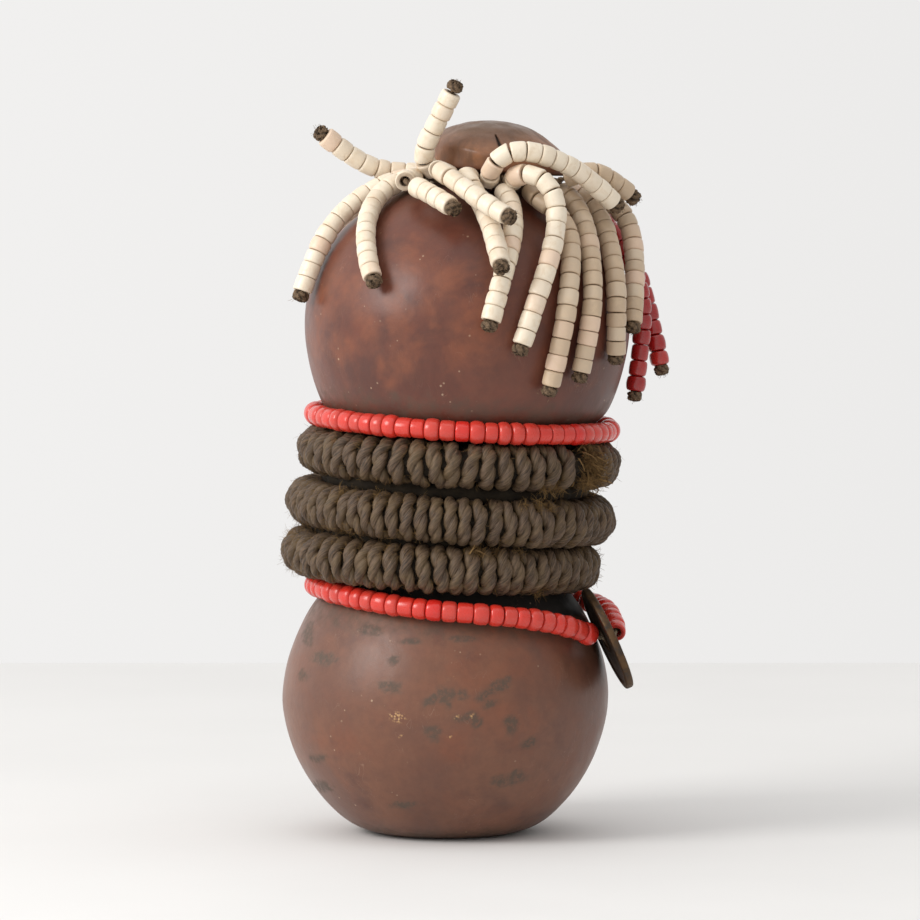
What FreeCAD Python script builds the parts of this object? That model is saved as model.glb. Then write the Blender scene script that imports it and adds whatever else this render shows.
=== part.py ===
"""Double-bulb gourd rattle with a carved stopper, a fringe of beaded strands, two rings of
red beads, three cord-wrapped coils round the waist and a holed bronze disc.

Units are millimetres, +Z is up and +X is to the right of the front, which faces -Y.
The origin is on the ground, under the middle of the gourd's box.
"""
import FreeCAD, Part
import math
import os

Vector = FreeCAD.Vector
UP = Vector(0, 0, 1)

# ---- gourd ------------------------------------------------------------------
WALL = 3.5                             # thickness of the dried gourd skin
LOWER_CENTRE = Vector(-2.9, 0, 39.5)   # middle of the round lower bulb
LOWER_RADIUS = 46.0
FOOT_ANGLE = 48.0                      # where the round side turns into the foot, below level
FOOT_SINE = math.sin(math.radians(FOOT_ANGLE))
# This edge puts the flat of the foot on the ground.
FOOT_EDGE_RADIUS = (LOWER_CENTRE.z - LOWER_RADIUS * FOOT_SINE) / (1 - FOOT_SINE)
UPPER_CENTRE = Vector(3.2, 0, 147.0)   # middle of the upper bulb at its widest
UPPER_RADIUS = 46.4
UPPER_SIDE_RADIUS = 36.0               # profile arc from the widest place up to the crown
UPPER_SIDE_ANGLE = 50.0
UPPER_SKIRT_RADIUS = 60.0              # profile arc from the widest place down to the waist
UPPER_SKIRT_ANGLE = 28.0
WAIST_RADIUS = 30.5
WAIST_LOW = Vector(-4.3, 0, 70.0)
WAIST_HIGH = Vector(2.2, 0, 118.0)

# ---- mouth, neck and stopper ------------------------------------------------
MOUTH = Vector(11.0, 0, 184.5)
MOUTH_LEAN = 6.0                       # degrees from upright, towards +X
NECK_RADIUS = 14.0
NECK_TOP = 3.8                         # height of the neck's rim above MOUTH, along its axis
BORE_RADIUS = 10.9
STEM_RADIUS = 10.8
STEM_DEPTH = 14.0
HEAD_RADIUS = 21.3
HEAD_LEAN = 12.0
HEAD_WIDEST = 9.5                      # height above MOUTH of the head's widest place
HEAD_TOP = 19.0
HEAD_UNDERSIDE = Vector(11.0, 0, 189.2)
HEAD_UNDERSIDE_SLOPE = 4.1
BINDING_RING_RADIUS = 15.6
BINDING_RADIUS = 1.4
BINDING_HEIGHT = 2.2

# ---- beads ------------------------------------------------------------------
BEAD_RADIUS = 2.8
BEAD_LENGTH = 3.95
BEAD_BORE = 1.25
BEAD_CHAMFER = 0.8
BEAD_GAP = 0.12                        # least gap between two neighbours' rims
RED_BEAD_RADIUS = 2.45
THONG_RADIUS = 0.8
KNOT_RADIUS = 2.35
KNOT_LENGTH = 2.4
STRING_RADIUS = 0.6
STRING_JOIN = 0.2                      # gap between the two tied ends of a ring's string
ARC_SHARE = 0.45                       # share of the shorter run that a bend takes up

# ---- rings round the waist --------------------------------------------------
UPPER_RING_CENTRE = Vector(1.9, 0, 117.6)
UPPER_RING_RADIUS = 42.35
UPPER_RING_SLOPE = 3.3                 # degrees, falling towards +X
UPPER_RING_POINTS = 24
# Centre line of the lower string of beads, anticlockwise from the back as seen from above.
LOWER_RING_ROUTE = [
    (-6.5, 41.2, 67.8), (-18.5, 37.0, 68.9), (-28.8, 29.0, 69.9), (-36.0, 18.4, 70.8),
    (-40.2, 6.6, 71.3), (-40.5, -6.0, 71.3), (-36.6, -18.0, 70.8), (-29.2, -28.6, 69.8),
    (-19.6, -36.4, 68.6), (-8.0, -41.0, 67.4), (4.0, -41.6, 66.5), (14.5, -39.6, 65.4),
    (24.0, -35.2, 63.9), (32.2, -29.0, 61.5), (37.8, -23.3, 58.8), (41.2, -19.2, 57.2),
    (44.6, -15.8, 57.2), (46.0, -10.0, 58.6), (44.6, -2.0, 61.6), (42.2, 8.5, 63.6),
    (37.2, 19.5, 64.6), (29.0, 29.8, 65.6), (18.0, 37.6, 66.6), (6.0, 41.4, 67.2),
]

# ---- wrapped coils: centre, ring radius, slope (degrees, falling towards +X) ------
COILS = [
    (Vector(0.9, 0, 107.9), 39.7, 3.1),
    (Vector(-1.4, 0, 92.4), 40.3, 3.8),
    (Vector(-3.3, 0, 78.7), 38.6, 3.3),
]
COIL_RADIUS = 6.6
CORE_RADIUS = 4.6
CORE_CLEARANCE = 0.1

# ---- holed disc on the lower ring, and the seeds inside the gourd -----------------
DISC_CENTRE = Vector(43.0, -17.6, 57.1)
DISC_RADIUS = 15.4
DISC_THICKNESS = 2.2
DISC_HOLE_RADIUS = 2.7
DISC_LEAN = 24.0                       # bottom edge further out than the top
DISC_TURN = 7.0                        # front edge further out than the back
DISC_GAP = 6.6                         # bare string each side of the disc
SEED_RADIUS = 3.1
SEED_COUNT = 6                         # seeds round the middle one
SEED_SPREAD = 6.6

# ---- beaded strands ----------------------------------------------------------
# Each route runs from the neck binding to the end knot. "first" is the bare length of
# thong before the first bead, "bead" is the length of its beads, and each pair in "bare" is
# a stretch without beads.
WHITE_STRANDS = [
    {"route": [(-6.1, -1.6, 188.4), (-16.0, -2.5, 187.2), (-25.3, -5.0, 183.3),
               (-33.7, -9.8, 176.3), (-39.9, -13.5, 166.2), (-43.9, -15.6, 154.3)],
     "bead": 3.6, "first": 7.0, "bare": []},
    {"route": [(-5.3, -5.8, 188.3), (-15.8, -9.0, 187.3), (-23.0, -14.6, 181.9),
               (-25.7, -27.0, 174.0), (-24.4, -38.0, 163.4), (-22.8, -40.6, 159.6)],
     "bead": 3.6, "first": 7.0, "bare": []},
    {"route": [(-6.0, 3.0, 188.5), (-15.5, 4.2, 188.6), (-22.0, 3.6, 189.4),
               (-29.6, 1.0, 193.0), (-38.4, -1.5, 200.0)],
     "bead": 4.0, "first": 7.0, "bare": []},
    {"route": [(-2.4, -11.2, 187.9), (-9.0, -15.2, 190.6), (-8.7, -18.2, 196.8),
               (-5.3, -19.8, 203.4), (-0.2, -21.8, 213.6)],
     "bead": 3.8, "first": 7.4, "bare": [(12.0, 13.6)]},
    {"route": [(-4.1, -8.6, 188.2), (-12.6, -14.0, 187.6), (-15.0, -22.0, 187.0),
               (-9.6, -28.8, 185.0), (-3.6, -35.4, 181.8), (-0.6, -39.0, 179.9)],
     "bead": 4.0, "first": 11.4, "bare": [(20.0, 23.2)]},
    {"route": [(1.2, -14.7, 187.0), (-5.2, -22.4, 190.2), (-4.2, -28.2, 190.0),
               (0.8, -34.4, 186.7), (8.4, -42.4, 181.2), (15.0, -47.8, 177.8)],
     "bead": 4.4, "first": 6.4, "bare": []},
    {"route": [(5.6, -16.9, 187.0), (2.4, -24.8, 189.0), (4.6, -29.8, 185.8),
               (8.0, -34.0, 179.2), (10.9, -44.2, 172.2), (12.7, -52.8, 164.0)],
     "bead": 4.2, "first": 6.6, "bare": []},
    {"route": [(12.8, -17.7, 186.4), (12.8, -23.2, 185.0), (15.8, -29.2, 180.8),
               (16.2, -36.8, 174.0), (14.9, -43.0, 167.3), (12.6, -47.2, 159.7),
               (9.4, -49.8, 147.6)],
     "bead": 4.1, "first": 9.4, "bare": []},
    {"route": [(9.4, -17.7, 186.7), (9.4, -23.2, 187.0), (10.0, -27.8, 190.8),
               (13.8, -29.2, 195.0), (20.2, -28.8, 195.8), (28.0, -26.2, 193.4),
               (36.5, -21.4, 188.8), (45.6, -16.0, 179.8)],
     "bead": 3.9, "first": 7.6, "bare": []},
    {"route": [(23.9, -12.4, 185.4), (30.6, -15.9, 187.4), (37.6, -14.4, 189.8),
               (44.6, -10.6, 187.0), (50.4, -6.4, 181.8)],
     "bead": 3.9, "first": 10.6, "bare": []},
    {"route": [(16.2, -17.0, 186.2), (15.9, -25.0, 187.6), (18.6, -29.2, 189.2),
               (23.2, -31.6, 188.6), (27.1, -33.6, 184.8), (28.6, -34.8, 177.8),
               (26.9, -40.0, 167.6), (23.6, -44.9, 157.6), (18.0, -47.6, 140.8)],
     "bead": 4.6, "first": 6.8, "bare": [(32.0, 34.6)]},
    {"route": [(19.8, -15.4, 185.7), (22.2, -23.4, 182.6), (29.0, -25.6, 178.0),
               (32.4, -30.0, 171.2), (32.2, -37.8, 161.2), (30.2, -42.4, 145.0),
               (26.2, -41.6, 129.0)],
     "bead": 4.6, "first": 6.0, "bare": [(27.0, 28.6)]},
    {"route": [(26.9, -7.6, 184.8), (31.2, -11.2, 183.4), (34.4, -16.6, 179.6),
               (37.2, -24.0, 172.0), (38.6, -32.4, 160.6), (38.2, -36.2, 148.4),
               (34.8, -36.8, 132.6)],
     "bead": 3.9, "first": 5.2, "bare": [(20.0, 21.4)]},
    {"route": [(27.9, -3.6, 184.8), (34.0, -5.4, 183.6), (40.8, -9.0, 177.6),
               (44.0, -17.2, 167.4), (45.4, -24.6, 156.6), (45.2, -26.4, 147.4),
               (45.2, -25.0, 137.0)],
     "bead": 3.85, "first": 6.4, "bare": []},
    {"route": [(28.3, 0.6, 184.7), (35.0, 2.2, 183.0), (43.0, 2.2, 180.9),
               (48.4, -0.6, 176.6), (50.8, -4.4, 168.4), (50.8, -12.4, 156.6),
               (50.0, -17.0, 145.4)],
     "bead": 3.7, "first": 6.6, "bare": []},
    {"route": [(11.0, 17.6, 186.6), (11.0, 27.0, 184.2), (8.0, 38.4, 176.0),
               (5.0, 47.8, 161.0), (3.0, 50.4, 145.0)],
     "bead": 3.9, "first": 6.0, "bare": []},
    {"route": [(0.2, 13.5, 187.8), (-8.0, 20.4, 186.6), (-20.0, 29.4, 178.4),
               (-27.4, 36.4, 164.8), (-29.4, 39.4, 150.0)],
     "bead": 3.9, "first": 6.4, "bare": []},
    {"route": [(-4.6, 7.8, 188.4), (-14.2, 13.6, 187.4), (-27.4, 17.4, 180.0),
               (-37.4, 20.0, 168.2), (-43.0, 21.4, 153.6)],
     "bead": 3.9, "first": 6.8, "bare": []},
]
RED_STRANDS = [
    {"route": [(27.8, 4.6, 184.8), (34.6, 8.2, 181.4), (42.0, 8.2, 175.6),
               (48.4, 7.0, 166.6), (53.0, 8.4, 155.0), (53.6, 8.6, 145.6),
               (52.7, 8.2, 136.0), (51.2, 7.2, 124.6)],
     "bead": 4.2, "first": 6.4, "bare": []},
    {"route": [(26.0, 8.8, 185.0), (34.9, 14.6, 180.6), (45.8, 17.8, 171.4),
               (52.4, 20.2, 159.6), (56.4, 20.0, 146.0), (59.2, 18.2, 131.4)],
     "bead": 4.2, "first": 7.0, "bare": []},
    {"route": [(19.8, 14.9, 185.6), (27.6, 25.0, 181.0), (34.4, 34.4, 168.6),
               (36.4, 38.6, 153.0), (34.4, 38.8, 136.4)],
     "bead": 4.2, "first": 7.0, "bare": []},
]


def lean_axis(degrees):
    """Unit direction that leans from upright towards +X."""
    angle = math.radians(degrees)
    return Vector(math.sin(angle), 0, math.cos(angle))


def placed(shape, position, direction):
    """Move a shape made about the Z axis so that its axis follows a direction."""
    shape.Placement = FreeCAD.Placement(position, FreeCAD.Rotation(UP, direction))
    return shape


def arc_through(centre, radius, start, end):
    """Profile arc in the XZ plane, with its angles in degrees above level."""
    def point(degrees):
        angle = math.radians(degrees)
        return Vector(centre[0] + radius * math.cos(angle), 0,
                      centre[1] + radius * math.sin(angle))
    return Part.Arc(point(start), point((start + end) / 2), point(end)).toShape()


def turned(edges, position):
    """Solid of revolution from profile edges that run from the axis back to the axis."""
    first = edges[0].firstVertex().Point
    last = edges[-1].lastVertex().Point
    closing = Part.LineSegment(last, first).toShape()
    face = Part.Face(Part.Wire(edges + [closing]))
    solid = face.revolve(Vector(0, 0, 0), UP, 360)
    solid.translate(position)
    return solid


def lower_bulb(inset):
    """Round lower bulb with its rounded foot, made smaller by an inset."""
    low, high = -FOOT_ANGLE, 70.0
    radius = LOWER_RADIUS - inset
    edge = FOOT_EDGE_RADIUS - inset
    reach = LOWER_RADIUS - FOOT_EDGE_RADIUS
    edge_centre = (reach * math.cos(math.radians(low)), reach * math.sin(math.radians(low)))
    foot = edge_centre[1] - edge
    side = arc_through((0, 0), radius, low, high)
    top = side.lastVertex().Point
    edges = [
        Part.LineSegment(Vector(0, 0, foot), Vector(edge_centre[0], 0, foot)).toShape(),
        arc_through(edge_centre, edge, -90, low),
        side,
        Part.LineSegment(top, Vector(0, 0, top.z)).toShape(),
    ]
    return turned(edges, LOWER_CENTRE)


def upper_bulb(inset):
    """Upper bulb: skirt, side and crown arcs that meet smoothly, made smaller by an inset."""
    side_centre = (UPPER_RADIUS - UPPER_SIDE_RADIUS, 0)
    skirt_centre = (UPPER_RADIUS - UPPER_SKIRT_RADIUS, 0)
    angle = math.radians(UPPER_SIDE_ANGLE)
    crown_centre = (0, -side_centre[0] * math.tan(angle))
    crown_radius = UPPER_SIDE_RADIUS + side_centre[0] / math.cos(angle)
    skirt = arc_through(skirt_centre, UPPER_SKIRT_RADIUS - inset, -UPPER_SKIRT_ANGLE, 0)
    bottom = skirt.firstVertex().Point
    shoulder = Vector(WAIST_RADIUS - 4 - inset, 0, bottom.z - 8 + inset)
    edges = [
        Part.LineSegment(Vector(0, 0, shoulder.z), shoulder).toShape(),
        Part.LineSegment(shoulder, bottom).toShape(),
        skirt,
        arc_through(side_centre, UPPER_SIDE_RADIUS - inset, 0, UPPER_SIDE_ANGLE),
        arc_through(crown_centre, crown_radius - inset, UPPER_SIDE_ANGLE, 90),
    ]
    return turned(edges, UPPER_CENTRE)


def waist(inset):
    """Narrow tube that joins the two bulbs."""
    span = WAIST_HIGH - WAIST_LOW
    return Part.makeCylinder(WAIST_RADIUS - inset, span.Length, WAIST_LOW, span)


def gourd_shell():
    """Hollow double gourd with a short open neck."""
    axis = lean_axis(MOUTH_LEAN)
    neck_root = MOUTH - axis * 8
    neck = Part.makeCylinder(NECK_RADIUS, 8 + NECK_TOP, neck_root, axis)
    outside = lower_bulb(0).fuse([waist(0), upper_bulb(0), neck])
    inside = lower_bulb(WALL).fuse([waist(WALL), upper_bulb(WALL)])
    bore = Part.makeCylinder(BORE_RADIUS, 30, MOUTH - axis * 20, axis)
    return outside.cut(inside).cut(bore).removeSplitter()


def stopper():
    """Carved stopper: a domed head, flat below, on a round stem."""
    head_axis = lean_axis(HEAD_LEAN)
    rise = HEAD_TOP - HEAD_WIDEST
    dome_radius = (HEAD_RADIUS ** 2 + rise ** 2) / (2 * rise)
    dome_angle = math.degrees(math.asin((dome_radius - rise) / dome_radius))
    drop = HEAD_WIDEST
    edges = [
        Part.LineSegment(Vector(0, 0, 0), Vector(HEAD_RADIUS - 2, 0, 0)).toShape(),
        Part.LineSegment(Vector(HEAD_RADIUS - 2, 0, 0), Vector(HEAD_RADIUS, 0, drop)).toShape(),
        arc_through((0, HEAD_TOP - dome_radius), dome_radius, dome_angle, 90),
    ]
    head = turned(edges, Vector(0, 0, 0))
    placed(head, MOUTH, head_axis)
    block = Part.makeBox(80, 80, 30, Vector(-40, -40, 0))
    placed(block, HEAD_UNDERSIDE, lean_axis(HEAD_UNDERSIDE_SLOPE))
    head = head.common(block)
    axis = lean_axis(MOUTH_LEAN)
    stem = Part.makeCylinder(STEM_RADIUS, STEM_DEPTH + 8, MOUTH - axis * STEM_DEPTH, axis)
    return head.fuse(stem).removeSplitter()


def ring(radius, tube_radius, centre, slope):
    """Torus whose plane falls towards +X."""
    return Part.makeTorus(radius, tube_radius, centre, lean_axis(slope))


def neck_binding():
    axis = lean_axis(MOUTH_LEAN)
    return Part.makeTorus(BINDING_RING_RADIUS, BINDING_RADIUS, MOUTH + axis * BINDING_HEIGHT, axis)


def route_wire(points):
    """Straight runs joined by tangent arcs, as large as the runs allow, and their radii."""
    edges, radii = [], []
    start = points[0]
    for before, here, after in zip(points, points[1:], points[2:]):
        back = before - here
        ahead = after - here
        half_turn = (math.pi - back.getAngle(ahead)) / 2
        reach = ARC_SHARE * min(back.Length, ahead.Length)
        radii.append(reach / math.tan(half_turn))
        back.normalize()
        ahead.normalize()
        middle = (back + ahead).normalize()
        sagitta = radii[-1] * (1 / math.cos(half_turn) - 1)
        arc_start = here + back * reach
        arc_end = here + ahead * reach
        edges.append(Part.LineSegment(start, arc_start).toShape())
        edges.append(Part.Arc(arc_start, here + middle * sagitta, arc_end).toShape())
        start = arc_end
    edges.append(Part.LineSegment(start, points[-1]).toShape())
    return Part.Wire(edges), radii


def tube(wire, radius):
    """Round tube along a wire."""
    start = wire.Edges[0]
    place = start.valueAt(start.FirstParameter)
    heading = start.tangentAt(start.FirstParameter)
    circle = Part.Wire(Part.makeCircle(radius, place, heading))
    return wire.makePipeShell([circle], True, False)


class Path:
    """Place and heading at any distance along a wire."""

    def __init__(self, wire):
        self.edges = wire.OrderedEdges
        self.length = wire.Length

    def at(self, distance):
        for edge in self.edges:
            if distance <= edge.Length or edge.isSame(self.edges[-1]):
                parameter = edge.getParameterByLength(min(distance, edge.Length))
                return edge.valueAt(parameter), edge.tangentAt(parameter)
            distance -= edge.Length


def bead(radius, length, bore):
    """Bored cylinder with bevelled rims, centred on the origin."""
    half = length / 2
    outline = [
        Vector(bore, 0, -half), Vector(radius - BEAD_CHAMFER, 0, -half),
        Vector(radius, 0, BEAD_CHAMFER - half), Vector(radius, 0, half - BEAD_CHAMFER),
        Vector(radius - BEAD_CHAMFER, 0, half), Vector(bore, 0, half), Vector(bore, 0, -half),
    ]
    return Part.Face(Part.makePolygon(outline)).revolve(Vector(0, 0, 0), UP, 360)


def bead_stations(path, length, rim, gap, first, last, bare):
    """Middles of the beads: each stands a gap, and what the bend needs, past the one before."""
    stations = []
    station = first + length / 2
    while station + length / 2 <= last:
        blocked = [end for start, end in bare
                   if station + length / 2 > start and station - length / 2 < end]
        if blocked:
            station = blocked[0] + length / 2
            continue
        stations.append(station)
        following = min(station + length + gap, path.length)
        turn = path.at(station)[1].getAngle(path.at(following)[1])
        station += length + gap + rim * turn
    return stations


def thread(path, radius, length, first, last, bare):
    """Beads packed along a path, leaving the bare stretches empty."""
    rim = radius - BEAD_CHAMFER
    packed = bead_stations(path, length, rim, BEAD_GAP, first, last, bare)
    spare = last - packed[-1] - length / 2
    gap = BEAD_GAP + spare / len(packed)
    solids = []
    for station in bead_stations(path, length, rim, gap, first, last, bare):
        place, heading = path.at(station)
        solids.append(placed(bead(radius, length, BEAD_BORE), place, heading))
    return Part.makeCompound(solids)


def strand(name, spec, radius):
    """A thong with its end knot, and the beads on it."""
    points = [Vector(*place) for place in spec["route"]]
    wire, radii = route_wire(points)
    path = Path(wire)
    thong = tube(wire, THONG_RADIUS)
    straight_volume = math.pi * THONG_RADIUS ** 2 * wire.Length
    print("%-16s length %5.1f  radii %s  volume ratio %.3f" % (
        name, wire.Length, " ".join("%.1f" % value for value in radii),
        thong.Volume / straight_volume))
    place, heading = path.at(wire.Length)
    knot = placed(bead(KNOT_RADIUS, KNOT_LENGTH, 0), place, heading)
    last_bead = wire.Length - KNOT_LENGTH / 2 - BEAD_GAP
    beads = thread(path, radius, spec["bead"], spec["first"], last_bead, spec["bare"])
    return {name + "_cord": thong.fuse(knot).removeSplitter(), name + "_beads": beads}


def open_ring(points):
    """Route of a tied string: its two ends all but meet halfway along the last run."""
    join = (points[-1] + points[0]) * 0.5
    ahead = (points[0] - points[-1]).normalize() * (STRING_JOIN / 2)
    return [join + ahead] + points + [join - ahead]


def bead_ring(name, points, bare):
    """A string of beads, tied into a ring."""
    wire, radii = route_wire(open_ring(points))
    path = Path(wire)
    print("%-16s length %5.1f  smallest radius %.1f" % (name, wire.Length, min(radii)))
    beads = thread(path, BEAD_RADIUS, BEAD_LENGTH, 0, path.length, bare)
    return {name + "_string": tube(wire, STRING_RADIUS), name + "_beads": beads}


def upper_ring():
    points = []
    for index in range(UPPER_RING_POINTS):
        angle = math.pi / 2 + 2 * math.pi * index / UPPER_RING_POINTS
        across = UPPER_RING_RADIUS * math.cos(angle)
        fall = across * math.tan(math.radians(UPPER_RING_SLOPE))
        offset = Vector(across, UPPER_RING_RADIUS * math.sin(angle), -fall)
        points.append(UPPER_RING_CENTRE + offset)
    return bead_ring("upper_ring", points, [])


def disc_axis():
    """Direction of the disc's face that looks away from the gourd."""
    lean = math.radians(DISC_LEAN)
    turn = math.radians(DISC_TURN)
    return Vector(math.cos(lean) * math.cos(turn), math.sin(turn), math.sin(lean))


def lower_ring():
    """Red beads round the waist, with bare string where the disc hangs."""
    points = [Vector(*place) for place in LOWER_RING_ROUTE]
    wire, _ = route_wire(open_ring(points))
    path = Path(wire)
    stations = [step * 0.25 for step in range(int(path.length * 4))]
    at_disc = min(stations, key=lambda s: path.at(s)[0].distanceToPoint(DISC_CENTRE))
    print("string passes %.2f from the middle of the hole" %
          path.at(at_disc)[0].distanceToPoint(DISC_CENTRE))
    return bead_ring("lower_ring", points, [(at_disc - DISC_GAP, at_disc + DISC_GAP)])


def pendant_disc():
    """Flat bronze disc with a round hole in its middle and a low raised rim."""
    axis = disc_axis().normalize()
    start = DISC_CENTRE - axis * (DISC_THICKNESS / 2)
    disc = Part.makeCylinder(DISC_RADIUS, DISC_THICKNESS, start, axis)
    rims = [edge for edge in disc.Edges if isinstance(edge.Curve, Part.Circle)]
    disc = disc.makeChamfer(0.3, rims)
    hole = Part.makeCylinder(DISC_HOLE_RADIUS, DISC_THICKNESS + 2, start - axis, axis)
    return disc.cut(hole)


def rattle_seeds():
    """Loose seeds that lie on the floor of the hollow."""
    middle = Vector(LOWER_CENTRE.x, 0, WALL + SEED_RADIUS + 0.4)
    seeds = [Part.makeSphere(SEED_RADIUS, middle)]
    for index in range(SEED_COUNT):
        angle = 2 * math.pi * index / SEED_COUNT
        offset = Vector(SEED_SPREAD * math.cos(angle), SEED_SPREAD * math.sin(angle), 0)
        seeds.append(Part.makeSphere(SEED_RADIUS, middle + offset))
    return Part.makeCompound(seeds)


def coils():
    """Three fibre cores, each inside its own sleeve of wrapped cord."""
    nodes = {}
    for number, (centre, radius, slope) in enumerate(COILS, start=1):
        nodes["coil_core_%d" % number] = ring(radius, CORE_RADIUS, centre, slope)
        sleeve = ring(radius, COIL_RADIUS, centre, slope)
        hollow = ring(radius, CORE_RADIUS + CORE_CLEARANCE, centre, slope)
        nodes["coil_wrap_%d" % number] = sleeve.cut(hollow)
    return nodes


def main():
    nodes = {
        "gourd_shell": gourd_shell(),
        "stopper": stopper(),
        "neck_binding": neck_binding(),
        "pendant_disc": pendant_disc(),
        "rattle_seeds": rattle_seeds(),
    }
    nodes.update(coils())
    nodes.update(upper_ring())
    nodes.update(lower_ring())
    for number, spec in enumerate(WHITE_STRANDS, start=1):
        nodes.update(strand("white_strand_%02d" % number, spec, BEAD_RADIUS))
    for number, spec in enumerate(RED_STRANDS, start=1):
        nodes.update(strand("red_strand_%02d" % number, spec, RED_BEAD_RADIUS))
    os.makedirs("parts", exist_ok=True)
    for name, shape in nodes.items():
        if not shape.isValid():
            print("NOT VALID:", name)
        shape.exportStep("parts/%s.step" % name)
    print(len(nodes), "nodes")


main()
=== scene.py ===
"""Look of the gourd rattle: gourd skin, stopper, beaded strands, bead rings, wrapped coils
and the holed bronze disc. Units are metres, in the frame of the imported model."""
import math
import random
import bpy
import numpy as np
from mathutils import Vector, Matrix, noise
from mathutils.bvhtree import BVHTree


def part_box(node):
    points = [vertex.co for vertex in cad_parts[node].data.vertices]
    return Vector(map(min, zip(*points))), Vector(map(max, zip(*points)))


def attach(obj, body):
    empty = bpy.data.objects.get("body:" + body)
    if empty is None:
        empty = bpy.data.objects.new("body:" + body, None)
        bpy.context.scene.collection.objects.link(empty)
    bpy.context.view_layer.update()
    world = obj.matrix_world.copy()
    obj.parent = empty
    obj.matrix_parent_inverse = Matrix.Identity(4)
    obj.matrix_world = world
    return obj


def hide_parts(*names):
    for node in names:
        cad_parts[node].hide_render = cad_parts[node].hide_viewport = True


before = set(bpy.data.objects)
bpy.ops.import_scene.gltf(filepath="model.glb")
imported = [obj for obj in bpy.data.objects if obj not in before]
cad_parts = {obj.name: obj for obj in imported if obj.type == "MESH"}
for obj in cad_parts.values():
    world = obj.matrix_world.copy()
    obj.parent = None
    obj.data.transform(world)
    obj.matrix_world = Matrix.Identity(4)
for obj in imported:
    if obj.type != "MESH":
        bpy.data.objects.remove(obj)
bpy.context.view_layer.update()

UP = Vector((0, 0, 1))
FULL_TURN = 2 * math.pi
TINY = 1e-9  # keeps a division by a zero length from failing
SAME_PLACE = 1e-7  # points nearer than this are one point

# ---- camera ----
CAMERA_PLACE = Vector((0.0012, -1.9949, 0.2496))
CAMERA_TARGET = Vector((0.0012, 0.0, 0.1066))
CAMERA_LENS = 273.9
SENSOR_WIDTH = 36.0

# ---- sizes that repeat the CAD ----
BEAD_RADIUS = 0.0028
BEAD_LENGTH = 0.00395
BEAD_BORE = 0.00125
BEAD_CHAMFER = 0.0008
BEAD_GAP = 0.00004
RED_BEAD_RADIUS = 0.00245
KNOT_RADIUS = 0.00235
KNOT_LENGTH = 0.0024
COIL_RADIUS = 0.0066
DISC_GAP = 0.0066
DISC_CENTRE = Vector((0.0430, -0.0176, 0.0571))
DISC_RADIUS = 0.0154
DISC_THICKNESS = 0.0022
DISC_HOLE_RADIUS = 0.0027
DISC_LEAN = math.radians(24.0)
DISC_TURN = math.radians(7.0)
MOUTH = Vector((0.0110, 0.0, 0.1845))
MOUTH_LEAN = math.radians(6.0)
HEAD_LEAN = math.radians(12.0)
BORE_RADIUS = 0.0109
BINDING_RING_RADIUS = 0.0156
BINDING_RADIUS = 0.0014
BINDING_HEIGHT = 0.0022
UPPER_RING_CENTRE = Vector((0.0019, 0.0, 0.1176))
UPPER_RING_RADIUS = 0.04235
UPPER_RING_SLOPE = math.radians(3.3)
UPPER_RING_POINTS = 24
# Routes are in tenths of a millimetre, so that a row is short.
LOWER_RING_ROUTE = [
    (-65, 412, 678), (-185, 370, 689), (-288, 290, 699), (-360, 184, 708), (-402, 66, 713),
    (-405, -60, 713), (-366, -180, 708), (-292, -286, 698), (-196, -364, 686), (-80, -410, 674),
    (40, -416, 665), (145, -396, 654), (240, -352, 639), (322, -290, 615), (378, -233, 588),
    (412, -192, 572), (446, -158, 572), (460, -100, 586), (446, -20, 616), (422, 85, 636),
    (372, 195, 646), (290, 298, 656), (180, 376, 666), (60, 414, 672),
]
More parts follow.
